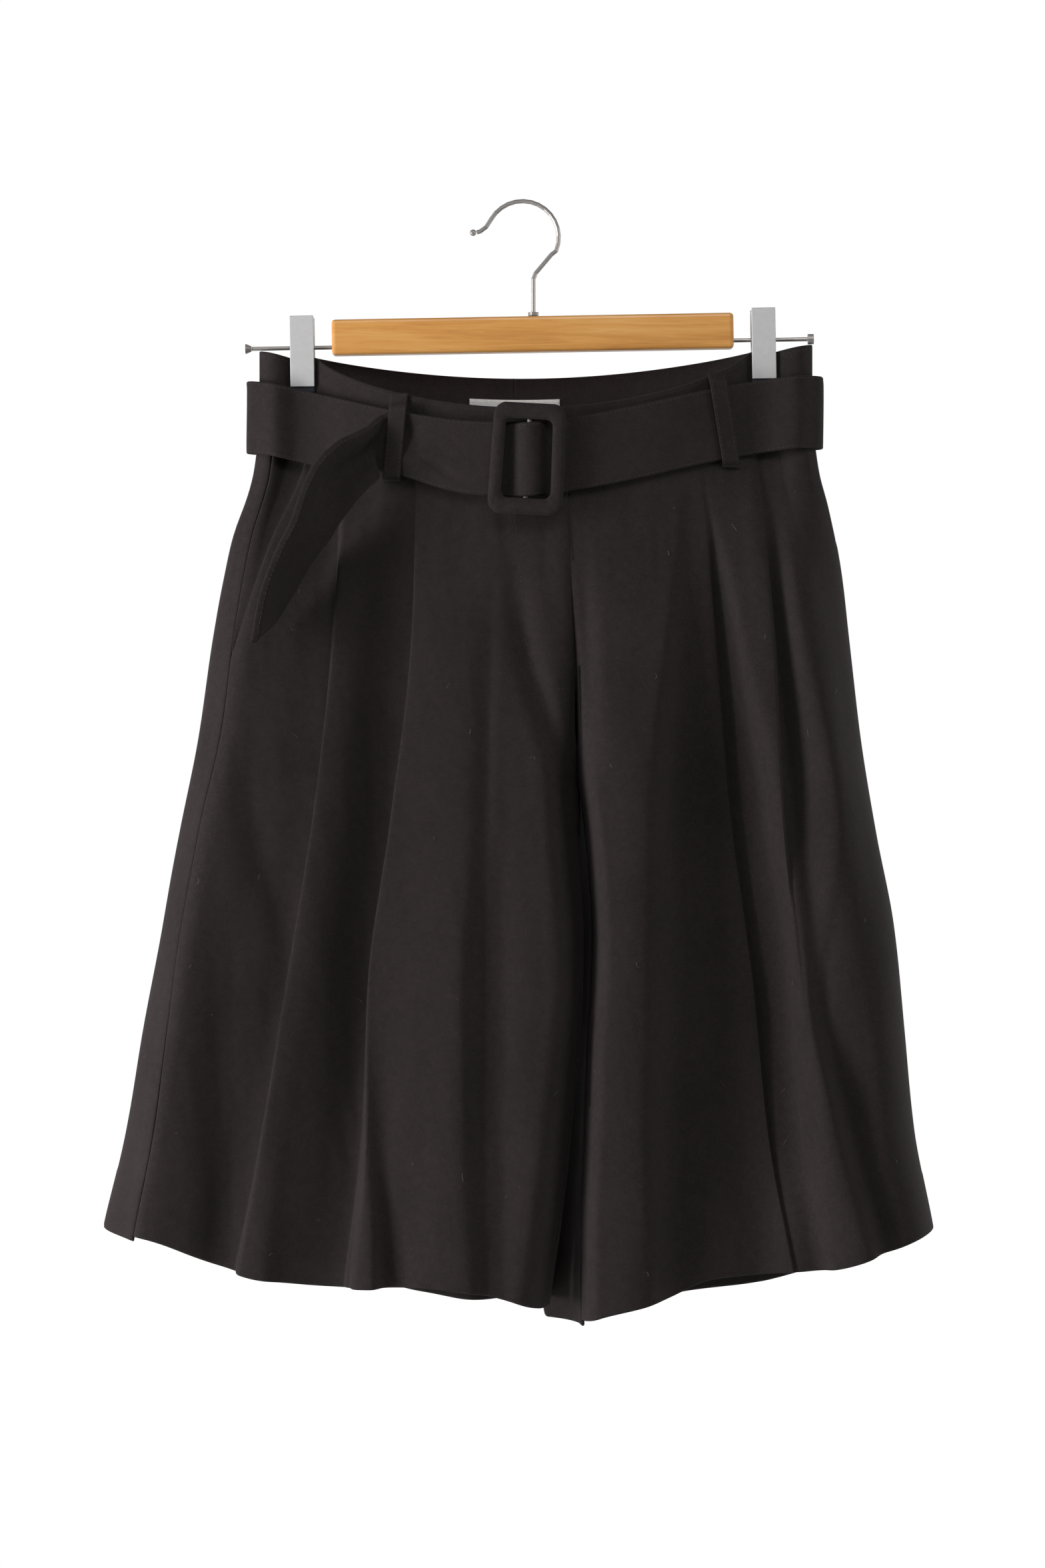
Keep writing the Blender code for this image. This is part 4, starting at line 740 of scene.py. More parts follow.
def ripple(seed, x, z, wave, stretch):
    """A smooth uneven surface: waves of about this length across, stretched down the cloth."""
    chance = np.random.default_rng(seed)
    total = np.zeros(np.broadcast(x, z).shape)
    for _ in range(RIPPLES):
        length = wave * chance.uniform(0.6, 1.6)
        slant = chance.uniform(-0.35, 0.35)
        phase = chance.uniform(0, 2 * math.pi)
        total = total + np.sin(2 * math.pi * (x + slant * z / stretch * 4) / length
                               + np.sin(z / (length * stretch) * 2 + phase) * 1.3 + phase)
    return total / math.sqrt(RIPPLES)


def rounded_wall(distance, thickness):
    """Offsets of a wall's two faces inside the skin, closing in a half circle at the wall's edge."""
    half = thickness / 2
    reach = half * quarter(distance / np.maximum(half, 1e-6))
    return half - reach, half + reach


def dent(distance, reach):
    """1 at no distance, falling away smoothly over this reach."""
    return np.exp(-((distance / reach) ** 2))


# ---------------------------------------------------------------- leg panels

HEM_DEPTH = 38.0
HEM_EXTRA = 1.5
HEM_PROUD = 0.25
FLY_LAP = 2.2
CROTCH_LAP = 1.2
FLY_LIFT = 1.3
FLY_FOOT_Z = -345.0
EDGE_STEPS = (0.0, 0.1, 0.35, 0.75, 1.4, 2.4)
HEM_STEPS = (0.0, 0.15, 0.5, 1.0, 1.8, 3.0)
LEVEL_STEP = 3.4
PLACE_STEP = 2.2
# Flat cuts: width, length and area, in metres
PANEL_CUTS = {
    ("left", "front"): (0.41, 0.62, 0.205),
    ("right", "front"): (0.41, 0.64, 0.185),
    ("left", "back"): (0.40, 0.64, 0.200),
    ("right", "back"): (0.40, 0.65, 0.175),
}


def above_fly_foot(z):
    return ease((z - FLY_FOOT_Z) / 30)


def near_crotch(z):
    return ease(2.5 - np.abs(z - CROTCH_Z) / 14)


def place_lines(leg, face):
    """Each grid line's distance from the silhouette, on a fine scale of heights."""
    heights = np.linspace(-800, -130, 336)
    make = front_places if face == "front" else back_places
    keys = settle_places(make(leg, heights))
    if leg == "left" and face == "front":
        keys[-1] += np.maximum(FLY_LAP * above_fly_foot(heights), CROTCH_LAP * near_crotch(heights))
    lines = [keys[0] + step for step in EDGE_STEPS]
    start = lines[-1]
    finish = keys[-1] - EDGE_STEPS[-1]
    knots = [start, *np.clip(keys[1:-1], start + LEAST_STEP, finish - LEAST_STEP), finish]
    for low, high in zip(knots[:-1], knots[1:]):
        parts = max(1, int(math.ceil(np.max(high - low) / PLACE_STEP)))
        lines += [low + (high - low) * (k + 1) / parts for k in range(parts)]
    lines += [keys[-1] - step for step in EDGE_STEPS[-2::-1]]
    return heights, np.array(lines)


def scene_panel(leg, face):
    """Outer and inner faces of a leg panel."""
    sign = -SIGN[face]
    heights, lines = place_lines(leg, face)
    steady = np.arange(SEAM_LEVEL, HEM_LEVEL + HEM_STEPS[-1], -LEVEL_STEP)
    levels = np.concatenate([steady, [HEM_LEVEL + step for step in HEM_STEPS[::-1]]])
    z = np.repeat(levels[:, None], len(lines), axis=1)
    for _ in range(7):
        place = np.stack([np.interp(z[:, i], heights, line) for i, line in enumerate(lines)], axis=1)
        x = skin(leg, sign * place, z)[..., 0]
        z = level_z(leg, face, levels[:, None], x)
    here = skin(leg, sign * place, z)
    from_start, from_end = place - place[:, :1], place[:, -1:] - place
    sides = np.minimum(from_start, from_end)
    here[..., 0] += lap_shift(leg, face, x, z) * ease(sides / 12.0)
    last = here.shape[1] - 1
    before = np.maximum(np.arange(last + 1) - 1, 0)
    after = np.minimum(np.arange(last + 1) + 1, last)
    normal = plan_normal(here[:, before], here[:, after], sign * LEGS[leg]["inward"])
    if face == "back":
        near = ((1 - ease(from_end / 6.0)) * ease((z - CROTCH_Z - 2.0) / 6.0))[..., None]
        normal = unit(normal * (1 - near) + np.array([0.0, 1.0]) * near)
        here[..., :1] += LEGS[leg]["inward"] * (HALF_SEAM - TOUCH) * near
    above_hem = z - z[-1:]
    hem = 1 - ease((above_hem - HEM_DEPTH) / 2.0)
    walls = rounded_wall(np.minimum(sides, above_hem), CLOTH + HEM_EXTRA * hem)
    proud = panel_relief(leg, face, x, z, sides, from_end) + HEM_PROUD * hem
    return [moved_in(here, normal, wall - proud) for wall in walls]


def panel_relief(leg, face, x, z, sides, from_end):
    """Small forms above the solid's skin: slack, puckers under the waist, and the fly's lifted edge."""
    seed = {"left": 3, "right": 8}[leg] + {"front": 0, "back": 20}[face]
    slack = 0.30 * ripple(seed, x, z, 46, 5.0) + 0.07 * ripple(seed + 1, x, z, 17, 4.0)
    slack = slack * (0.5 + 0.5 * ease((-215 - z) / 120))
    pucker = 0.14 * ripple(seed + 2, x, z, 13, 9.0) * ease((z + 300) / 90)
    total = (slack + pucker) * ease(sides / 9.0) - 0.35 * dent(sides, 1.3)
    if leg == "left" and face == "front":
        above = above_fly_foot(z)
        total = total + FLY_LIFT * above * (1 - ease((from_end - 5) / 14))
        total = total + CROTCH_LAP * near_crotch(z) * (1 - above) * (1 - ease(from_end / 7))
    return total


def add_panel_piece(leg, face):
    outer, inner = scene_panel(leg, face)
    width, length, area = PANEL_CUTS[leg, face]
    add_cloth(f"{face}_{leg}", outer, inner, flat=(width, length), held="hung", rests_on=["hanger_bar"],
              area=area)
    return outer


def add_facing_piece(leg):
    levels = np.linspace(SEAM_LEVEL, -340.0, 60)[:, None]
    share = np.linspace(0.0, 1.0, 30)[None, :]
    z = np.repeat(levels, share.size, axis=1)
    for _ in range(6):
        seam = column(LEGS[leg]["rows"], "seam", z)
        shown = pocket_edge(z, seam) - seam
        around = seam + 0.2 + (shown + POCKET_LAP - 0.2) * share
        z = level_z(leg, "front", levels, skin(leg, around, z)[..., 0])
    below = CLOTH + SEAM + 0.4 + 1.4 * ease((z + 300) / 60)
    under = 0.3 + (below - 0.3) * ease((around - seam) / np.maximum(shown * 0.96, 0.3))
    outer, inner = skin_walls(leg, around, z, under, under + FACING_WALL * 0.6)
    add_cloth(f"pocket_facing_{leg}", outer, inner, flat=(0.045, 0.165), area=0.0055, held="hung",
              rests_on=[f"front_{leg}_cloth"])


# ---------------------------------------------------------------- threads

# A stitch's five rings: where along it, how far out of the cloth and how wide
STITCH_PLACES = np.array([0.0, 0.18, 0.5, 0.82, 1.0])
STITCH_HEIGHTS = np.array([-0.22, 0.02, 0.10, 0.02, -0.22])
STITCH_WIDTHS = (0.55, 1.0, 1.0, 1.0, 0.55)


def thread_line(grid, guide, row, places):
    """Points and outward normals along one row of a grid, at fractional columns."""
    normal = normals_towards(grid, guide)
    line = []
    for place in places:
        r0, c0 = int(min(row, grid.shape[0] - 2)), int(min(place, grid.shape[1] - 2))
        fr, fc = row - r0, place - c0
        mix = [(1 - fr) * (1 - fc), (1 - fr) * fc, fr * (1 - fc), fr * fc]
        at = [(r0, c0), (r0, c0 + 1), (r0 + 1, c0), (r0 + 1, c0 + 1)]
        point, out = (sum(w * values[i] for w, i in zip(mix, at)) for values in (grid, normal))
        line.append((point, unit(out)))
    return line


def ring(centre, side, up, radius, count):
    angles = 2 * math.pi * np.arange(count)[:, None] / count
    return centre + (side * np.cos(angles) + up * np.sin(angles)) * radius


def add_tube(points, faces, rings):
    """Joins rings of points into a closed tube."""
    first, count = len(points), len(rings[0])
    for i, made in enumerate(rings):
        points.extend(made)
        for s in range(count if i else 0):
            a, b = first + (i - 1) * count + s, first + (i - 1) * count + (s + 1) % count
            faces.append((a, b, b + count, a + count))
    faces.append(list(range(first, first + count))[::-1])
    faces.append(list(range(len(points) - count, len(points))))


def add_stitches(name, lines, length, gap, radius):
    """Threads laid along lines of (point, normal): each a short tube whose ends dip into the cloth."""
    points, faces = [], []
    for line in lines:
        place, out = (np.array(part) for part in zip(*line))
        run = np.concatenate([[0], np.cumsum(np.linalg.norm(np.diff(place, axis=0), axis=1))])
        for k in range(int(run[-1] // (length + gap))):
            where = k * (length + gap) + STITCH_PLACES * length
            centre, up = (np.stack([np.interp(where, run, part[:, i]) for i in range(3)], -1)
                          for part in (place, out))
            centre = centre + up * STITCH_HEIGHTS[:, None]
            along = np.gradient(centre, axis=0)
            side = unit(np.cross(along, up))
            lift = unit(np.cross(side, along))
            add_tube(points, faces, [ring(centre[i], side[i], lift[i], radius * wide, 5)
                                     for i, wide in enumerate(STITCH_WIDTHS)])
    add_piece(name, new_mesh(name, points, faces), "thread")


# ---------------------------------------------------------------- waistband

BAND_PROUD = 0.6
BAND_STITCH_ROW = 5.2
BAND_END_STEPS = (0, 0.08, 0.3, 0.7, 1.3, 2.2, 3.4, 5, 7, 9, 11, 13, 15, 17, 19)


def band_columns(low, high):
    """x of a waistband piece's grid lines: closer together at the ring's ends and under the clips."""
    spans = np.arange(low, high, 2.2)
    extra = [low - 0.1, high + 0.1]
    for end in WAIST_ENDS:
        if end in (low, high):
            spans = spans[np.abs(spans - end) > 20]
            extra += [end - math.copysign(step, end) for step in BAND_END_STEPS]
    for clip in CLIP_CENTRES:
        if low < clip < high:
            half = CLIP_WIDTH / 2
            spans = spans[np.abs(spans - clip) > half + 6]
            extra += [clip + step for step in np.linspace(-half - 5.5, half + 5.5, 16)]
    x = np.unique(np.round(np.concatenate([spans[1:], extra]), 4))
    return x[(x >= max(low - 0.1, WAIST_ENDS[0])) & (x <= min(high + 0.1, WAIST_ENDS[1]))]


def scene_band(face, low, high):
    """Outer and inner faces of a waistband piece, with a rounded top fold."""
    x = band_columns(low, high)
    down = np.concatenate([[0, 0.12, 0.45, 0.95, 1.6, 2.6], np.linspace(4.5, BAND_HEIGHT, 14)])
    seam = high if low in WAIST_ENDS else low
    dip = 0.4 * dent(x - seam, 1.0)
    calm = ease((np.minimum(x - WAIST_ENDS[0], WAIST_ENDS[1] - x) - 20) / 12)
    grids = []
    for inside in rounded_wall(down, BAND_WALL):
        rows = []
        for drop, offset in zip(down, inside):
            wave = 0.18 * ripple(40, x, np.full_like(x, -drop * 3), 30, 6.0) * min(drop / 8, 1.0)
            plan = band_line(x, face, (BAND_PROUD - offset - dip + wave * calm)[:, None])
            plan[:, 1] = SIGN[face] * np.maximum(SIGN[face] * plan[:, 1], HALF_SEAM)
            rows.append(np.column_stack([plan, waist_top(x, face) - drop]))
        grids.append(np.array(rows))
    return grids


def add_band_piece(name, face, low, high):
    outer, inner = scene_band(face, low, high)
    length = (high - low) * 1.03 * MM
    add_cloth(name, outer, inner, flat=(length, BAND_HEIGHT * MM), held="hung", rests_on=["hanger_bar"])
    columns = np.arange(2, outer.shape[1] - 2, 1.0)
    return [thread_line(outer, outer * DEPTH_ONLY, BAND_STITCH_ROW, columns),
            thread_line(inner, -inner * DEPTH_ONLY, BAND_STITCH_ROW, columns)]


# ---------------------------------------------------------------- belt

BELT_ACROSS = np.concatenate([[0.0, 0.002, 0.008, 0.018, 0.035], np.linspace(0.06, 0.94, 23),
                              [0.965, 0.982, 0.992, 0.998, 1.0]])
BELT_STITCH_INSET = 1.7


def blend(t, start, end, first, second):
    """The first at start, the second at end, and a straight mix of them between."""
    return (end - t) / (end - start) * first + (t - start) / (end - start) * second


def catmull(points, parts):
    """A smooth curve through points, with this many parts in each span."""
    points = np.array(points, float)
    knots = np.vstack([2 * points[0] - points[1], points, 2 * points[-1] - points[-2]])
    made = []
    for i, count in enumerate(parts):
        p0, p1, p2, p3 = knots[i:i + 4]
        times = [0.0]
        for here, there in ((p0, p1), (p1, p2), (p2, p3)):
            times.append(times[-1] + max(np.linalg.norm(there - here), 1e-6) ** 0.5)
        t0, t1, t2, t3 = times
        for k in range(count):
            t = t1 + (t2 - t1) * k / count
            a1, a2, a3 = blend(t, t0, t1, p0, p1), blend(t, t1, t2, p1, p2), blend(t, t2, t3, p2, p3)
            made.append(blend(t, t1, t2, blend(t, t0, t2, a1, a2), blend(t, t1, t3, a2, a3)))
    made.append(points[-1])
    return np.array(made)


def smooth_rows(both, step, least):
    """A smooth curve through rows of points, divided by the run of their first three columns."""
    spans = np.linalg.norm(np.diff(both[:, :3], axis=0), axis=1)
    return catmull(both, [max(least, int(round(span / step))) for span in spans])


def add_belt_piece():
    fine = smooth_rows(np.array(belt_rows(), float), 2.4, 1)
    front, rear = fine[:, :3], fine[:, 3:]
    share = BELT_ACROSS[:, None]
    face = front[None] * (1 - share[..., None]) + rear[None] * share[..., None]
    inward = unit(np.cross(np.gradient(face, axis=0), np.gradient(face, axis=1)))
    run = np.concatenate([[0], np.cumsum(np.linalg.norm(np.diff(front, axis=0), axis=1))])
    from_end = run[-1] - run[None, :]
    edge = np.minimum(share, 1 - share) * BELT_WIDTH
    walls = rounded_wall(np.minimum(edge, np.minimum(run[None, :], from_end)), BELT_WALL)
    wave = 0.25 * ripple(60, run[None, :], share * 50, 60, 2.0) * ease(edge / 6)
    wave = wave + crumple(face) + twist(share, from_end) + rolled_edge(share * BELT_WIDTH, from_end)
    outer, inner = (face + inward * (wall - wave)[..., None] for wall in walls)
    add_cloth("belt", outer, inner, flat=(run[-1] * MM, BELT_WIDTH * MM), held="hung",
              rests_on=["buckle_frame_cloth"])
    columns = np.arange(2, outer.shape[1] - 2, 1.0)
    lines = []
    for inset in (BELT_STITCH_INSET, BELT_WIDTH - BELT_STITCH_INSET):
        row = np.interp(inset / BELT_WIDTH, BELT_ACROSS, np.arange(len(BELT_ACROSS)))
        lines += [thread_line(outer, -inward, row, columns), thread_line(inner, inward, row, columns)]
    return lines


def rolled_edge(inset, from_end):
    """The free end's upper edge rolls back and catches the light, with a faint ridge along its seam."""
    return (0.5 * dent(inset - 3.2, 0.8) - 2.6 * dent(inset, 1.7)) * ease((215 - from_end) / 20)


def twist(share, from_end):
    """Past the loop the strap is dished along its middle and its lower edge turns out, then straightens."""
    run = ease((200 - from_end) / 12) * ease((from_end - 95) / 60)
    return (8.0 * dent(share - 1.0, 0.3) - 7.0 * dent(share - 0.5, 0.2)) * run


def crumple(face):
    """The upper layer is pinched where it goes into the loop: a hollow, and a soft roll below it."""
    x, y, z = face[..., 0], face[..., 1], face[..., 2]
    layer = (y < -28) & (x < -20) & (x > -100) & (-y > belt_depth(x, "front") + OVER_ITSELF * 0.5)
    hollow = -3.0 * dent(x + 76, 8) * dent(z + 163, 9)
    roll = 2.4 * dent(x + 74, 12) * dent(z + 181, 6)
    crease = -1.5 * dent((z + 190) + (x + 50) * 0.55, 3.0) * dent(x + 60, 16)
    return (hollow + roll + crease) * layer


# ---------------------------------------------------------------- loops, buckle, label

LOOP_STITCH_INSET = 1.6
BUCKLE_SECTIONS = 28
CORNER_STEPS = 10


def loop_grids(face, top, foot, layers):
    """Outer and inner faces of a belt loop: over the waistband, over the belt, and sewn below it."""
    x_mid = (top + foot) / 2
    belt_z = float(belt_middle(x_mid, face))
    low = float(belt_foot(x_mid, face))
    high = belt_z + BELT_WIDTH / 2
    first = min(float(waist_top(top, face)) - 0.5, high + 13.0)
    heights = np.array([first, high + 6.0, high + 2.6, high + 1.2, high - 2.0, belt_z,
                        low + 2.0, low - 0.8, low - 1.8, low - 2.6, low - 5.0])
    over_share = np.array([0.0, 0.0, 0.45, 1.0, 1.0, 1.0, 1.0, 1.0, 0.5, 0.0, 0.0])
    centre = top + (foot - top) * (heights[0] - heights) / (heights[0] - heights[-1])
    lines = []
    for part in np.linspace(-0.5, 0.5, 13):
        x = centre + LOOP_WIDTH * part
        body = np.max([body_depth_at(x + step, face, heights) for step in (-4, 0, 4)], axis=0)
        under = np.where(heights > belt_z, waist_depth(x, face) + BAND_PROUD, body) + 2 * SEAM
        belt = belt_depth(x, face) + CLEAR + layers * OVER_ITSELF
        depth = under + (np.maximum(belt, under) - under) * over_share
        run = unit(np.stack([np.gradient(depth), np.gradient(heights)], -1)) * LOOP_WALL
        lines.append(smooth_rows(np.column_stack([x, SIGN[face] * (depth - run[:, 1]), heights + run[:, 0],
                                                  x, SIGN[face] * depth, heights]), 1.2, 2))
    least = min(len(line) for line in lines)
    lines = np.array([line[:least] for line in lines])
    return lines[..., :3], lines[..., 3:]


def add_loop_piece(name, face, *places):
    outer, inner = loop_grids(face, *places)
    add_cloth(name, outer, inner, flat=(LOOP_WIDTH * MM, 0.075), held="hung", rests_on=["belt_cloth"])
    columns = np.arange(1, outer.shape[1] - 1, 0.5)
    rows = [inset / LOOP_WIDTH * (outer.shape[0] - 1)
            for inset in (LOOP_STITCH_INSET, LOOP_WIDTH - LOOP_STITCH_INSET)]
    return [thread_line(outer, SIGN[face] * DEPTH_ONLY, row, columns) for row in rows]


def rounded_outline(width, height, radius):
    """Points of a rounded rectangle, in order, a little wider below."""
    points = []
    for corner, (sx, sz) in enumerate(((1, 1), (-1, 1), (-1, -1), (1, -1))):
        for step in range(CORNER_STEPS):
            angle = math.pi / 2 * (corner + step / (CORNER_STEPS - 1))
            x = sx * (width / 2 - radius) + radius * math.cos(angle)
            z = sz * (height / 2 - radius) + radius * math.sin(angle)
            points.append((x * (1 - BUCKLE_TAPER * sz / 2), z))
    return np.array(points)


def add_buckle_piece():
    """The covered buckle: a soft ring of cloth round its window, leaned and moved to its place."""
    outline = rounded_outline(BUCKLE_WIDTH, BUCKLE_HEIGHT, 9.0)
    window = rounded_outline(BUCKLE_WIDTH - 2 * BUCKLE_SIDE, BUCKLE_HEIGHT - 2 * BUCKLE_RIM, 5.0)
    count = len(outline)
    rings = []
    for step in range(BUCKLE_SECTIONS):
        angle = 2 * math.pi * step / BUCKLE_SECTIONS
        share = (1 - math.cos(angle)) / 2
        swell = math.copysign(abs(math.sin(angle)) ** 0.7, math.sin(angle))
        flat = outline * (1 - share) + window * share
        rings.append(np.column_stack([flat[:, 0], np.full(count, BUCKLE_THICK / 2 * swell), flat[:, 1]]))
    rings = np.array(rings)
    around = np.arange(count)[None, :] / count * 240
    turn = np.arange(BUCKLE_SECTIONS)[:, None] / BUCKLE_SECTIONS * 30
    out = unit(rings - rings.mean(axis=0, keepdims=True))
    rings = rings + out * (0.12 * ripple(70, around, turn * 4, 9, 1.0))[..., None]
    x, y, z = rings.reshape(-1, 3).T
    points = np.column_stack([
        x * math.cos(BUCKLE_LEAN) + z * math.sin(BUCKLE_LEAN) + BUCKLE_X,
        y + BUCKLE_BACK_Y - BUCKLE_THICK / 2,
        z * math.cos(BUCKLE_LEAN) - x * math.sin(BUCKLE_LEAN) + BUCKLE_Z,
    ])
    faces, uv = [], []
    for i in range(BUCKLE_SECTIONS):
        for j in range(count):
            corners = ((j, i), (j + 1, i), (j + 1, i + 1), (j, i + 1))
            faces.append([b % BUCKLE_SECTIONS * count + a % count for a, b in corners])
            uv += [(a / count * 0.24, b / BUCKLE_SECTIONS * 0.03) for a, b in corners]
    mesh = new_mesh("buckle_frame_cloth", points, faces, uv)
    solid = bmesh.new()
    solid.from_mesh(mesh)
    bmesh.ops.recalc_face_normals(solid, faces=solid.faces)
    solid.to_mesh(mesh)
    solid.free()
    add_piece("buckle_frame_cloth", mesh, "cloth", ["buckle_frame"])


def add_label_piece():
    x = np.linspace(-37.0, 26.0, 40)
    tops = waist_top(x, "back") - 15.0
    grids = []
    for behind in (0.85, 0.35):
        plan = band_line(x, "back", BAND_PROUD - BAND_WALL - behind)
        grids.append(np.array([np.column_stack([plan, tops - drop]) for drop in np.linspace(0.0, 24.0, 12)]))
    add_cloth("label", *grids, finish="label", flat=(0.063, 0.024), held="stretched",
              rests_on=["waistband_back_right_cloth"])


# ---------------------------------------------------------------- materials

THREAD = 0.00052


def new_material(name, **values):
    """A new material, its tree and its shader, with these values on the shader."""
    made = bpy.data.materials.new(name)
    made.use_nodes = True
    shader = made.node_tree.nodes["Principled BSDF"]
    for key, value in values.items():
        shader.inputs[key.replace("_", " ")].default_value = value
    return made, made.node_tree, shader


def add_node(tree, kind, source=None, **values):
    """A node with these values, whose first input comes from the source."""
    node = tree.nodes.new(kind)
    for key, value in values.items():
        if key in node.inputs:
            node.inputs[key].default_value = value
        else:
            setattr(node, key, value)
    if source is not None:
        tree.links.new(source, node.inputs[0])
    return node


def add_noise(tree, scale, detail, roughness=0.5, source=None, **more):
    """Noise by the object's own coordinates, or by another vector."""
    if source is None:
        source = add_node(tree, "ShaderNodeTexCoord").outputs["Object"]
    values = dict(Scale=scale, Detail=detail, Roughness=roughness, **more)
    return add_node(tree, "ShaderNodeTexNoise", source, **values).outputs["Fac"]


def math_node(tree, operation, first, second):
    node = add_node(tree, "ShaderNodeMath", operation=operation)
    for socket, value in zip(node.inputs, (first, second)):
        if isinstance(value, (int, float)):
            socket.default_value = value
        else:
            tree.links.new(value, socket)
    return node.outputs[0]


def scaled(tree, source, factor, plus):
    return math_node(tree, "ADD", math_node(tree, "MULTIPLY", source, factor), plus)


def add_colours(tree, shader, source, *stops):
    """Colours the shader by a source, through a ramp of (place, colour) stops."""
    node = add_node(tree, "ShaderNodeValToRGB", source)
    elements = node.color_ramp.elements
    while len(elements) < len(stops):
        elements.new(0.5)
    for element, (place, colour) in zip(elements, stops):
        element.position = place
        element.color = (*colour, 1.0)
    tree.links.new(node.outputs["Color"], shader.inputs["Base Color"])


def add_bump(tree, shader, height, strength, distance):
    node = add_node(tree, "ShaderNodeBump", Strength=strength, Distance=distance)
    tree.links.new(height, node.inputs["Height"])
    tree.links.new(node.outputs["Normal"], shader.inputs["Normal"])


def woven_material(name, dark, light, bump, sheen, roughness):
    """Plain weave by the cloth's own coordinates, with slubs, soft mottling and a little fuzz."""
    made, tree, shader = new_material(name, Sheen_Weight=sheen, Sheen_Roughness=0.45,
                                      Sheen_Tint=(0.95, 0.80, 0.80, 1.0), Specular_IOR_Level=0.22)
    place = add_node(tree, "ShaderNodeUVMap", uv_map="cloth").outputs["UV"]
    parts = add_node(tree, "ShaderNodeSeparateXYZ", place).outputs
    waves = [math_node(tree, "SINE", math_node(tree, "MULTIPLY", parts[axis], math.pi / THREAD), 0.0)
             for axis in ("X", "Y")]
    weave = math_node(tree, "MULTIPLY", *waves)
    slub = add_noise(tree, 700.0, 3.0, 0.65)
    mottle = add_noise(tree, 190.0, 5.0, 0.7)
    broad = add_noise(tree, 16.0, 2.0)
    mixed = scaled(tree, slub, 0.42, math_node(tree, "MULTIPLY", mottle, 0.38))
    mixed = math_node(tree, "ADD", mixed, math_node(tree, "MULTIPLY", broad, 0.20))
    add_colours(tree, shader, mixed, (0.36, dark), (0.66, light))
    add_bump(tree, shader, scaled(tree, weave, 0.35, slub), bump, 0.0003)
    tree.links.new(scaled(tree, mottle, 0.12, roughness - 0.06), shader.inputs["Roughness"])
    return made


def wood_material():
    made, tree, shader = new_material("wood_grain", Roughness=0.38, Coat_Weight=0.3, Coat_Roughness=0.2)
    coordinates = add_node(tree, "ShaderNodeTexCoord").outputs["Object"]
    stretched = add_node(tree, "ShaderNodeMapping", coordinates, Scale=(5.0, 90.0, 90.0)).outputs["Vector"]
    grain = add_noise(tree, 2.2, 6.0, 0.62, stretched, Distortion=0.6)
    pores = add_noise(tree, 9.0, 3.0, 0.7, stretched)
    mixed = scaled(tree, grain, 0.75, math_node(tree, "MULTIPLY", pores, 0.25))
    add_colours(tree, shader, mixed, (0.30, (0.62, 0.26, 0.06)), (0.50, (0.80, 0.38, 0.10)),
                (0.72, (0.90, 0.50, 0.17)))
    add_bump(tree, shader, pores, 0.12, 0.0003)
    return made


def metal_material(name, colour, low, high, metallic):
    made, tree, shader = new_material(name, Metallic=metallic)
    worn = add_noise(tree, 260.0, 4.0, 0.6)
    tree.links.new(scaled(tree, worn, high - low, low), shader.inputs["Roughness"])
    add_colours(tree, shader, worn, (0.3, [v * 0.93 for v in colour]), (0.7, colour))
    return made


def rubber_material():
    made, tree, shader = new_material("pad_rubber", Roughness=0.6)
    grain = add_noise(tree, 900.0, 2.0)
    add_colours(tree, shader, grain, (0.3, (0.010, 0.012, 0.020)), (0.7, (0.022, 0.024, 0.034)))
    add_bump(tree, shader, grain, 0.2, 0.0002)
    return made


def plain_material(name, colour, glow):
    made, tree, shader = new_material(name, Roughness=0.9, Emission_Color=(1.0, 1.0, 1.0, 1.0),
                                      Emission_Strength=glow)
    add_colours(tree, shader, add_noise(tree, 3.0, 2.0), (0.0, colour), (1.0, [v * 0.99 for v in colour]))
    return made


FINISH = {
    "cloth": woven_material("dark_weave", (0.0165, 0.0122, 0.0124), (0.035, 0.0262, 0.0266), 0.4, 0.04, 0.85),
    "thread": woven_material("dark_thread", (0.024, 0.021, 0.021), (0.048, 0.042, 0.042), 0.3, 0.25, 0.7),
    "label": woven_material("label_weave", (0.70, 0.70, 0.69), (0.86, 0.86, 0.85), 0.25, 0.1, 0.6),
    "wood": wood_material(),
    "steel": metal_material("plated_steel", (0.46, 0.43, 0.41), 0.3, 0.42, 0.5),
    "clip": metal_material("clip_steel", (0.70, 0.70, 0.70), 0.4, 0.5, 0.15),
    "pad": rubber_material(),
    "lint": plain_material("lint_fibre", (0.42, 0.40, 0.38), 0.0),
}


# ---------------------------------------------------------------- lint

LINT_EACH = 26
LINT_RINGS = 8
LINT_RADIUS = 0.045


def add_lint(grids):
    """A few stray pale fibres lying on the cloth."""
    chance = np.random.default_rng(11)
    points, faces = [], []
    for grid in grids:
        normal = normals_towards(grid, grid * DEPTH_ONLY)
        for _ in range(LINT_EACH):
            r = chance.integers(4, grid.shape[0] - 8)
            c = chance.integers(4, grid.shape[1] - 8)
            length = chance.uniform(2.0, 7.0)
            heading = chance.uniform(0, 2 * math.pi)
            bend = chance.uniform(-0.5, 0.5)
            out = normal[r, c]
            across = unit(np.cross(out, [0.0, 0.0, 1.0]))
            up = np.cross(across, out)
            spot = np.zeros(2)
            rings = []
            for k in range(LINT_RINGS):
                lift = 0.12 + 0.25 * math.sin(k * 0.45)
                place = grid[r, c] + across * spot[0] + up * spot[1] + out * lift
                rings.append(ring(place, across, out, LINT_RADIUS, 3))
                heading += bend
                spot = spot + np.array([math.cos(heading), math.sin(heading)]) * length / LINT_RINGS
            add_tube(points, faces, rings)
    add_piece("lint", new_mesh("lint", points, faces), "lint")


# ---------------------------------------------------------------- hanger

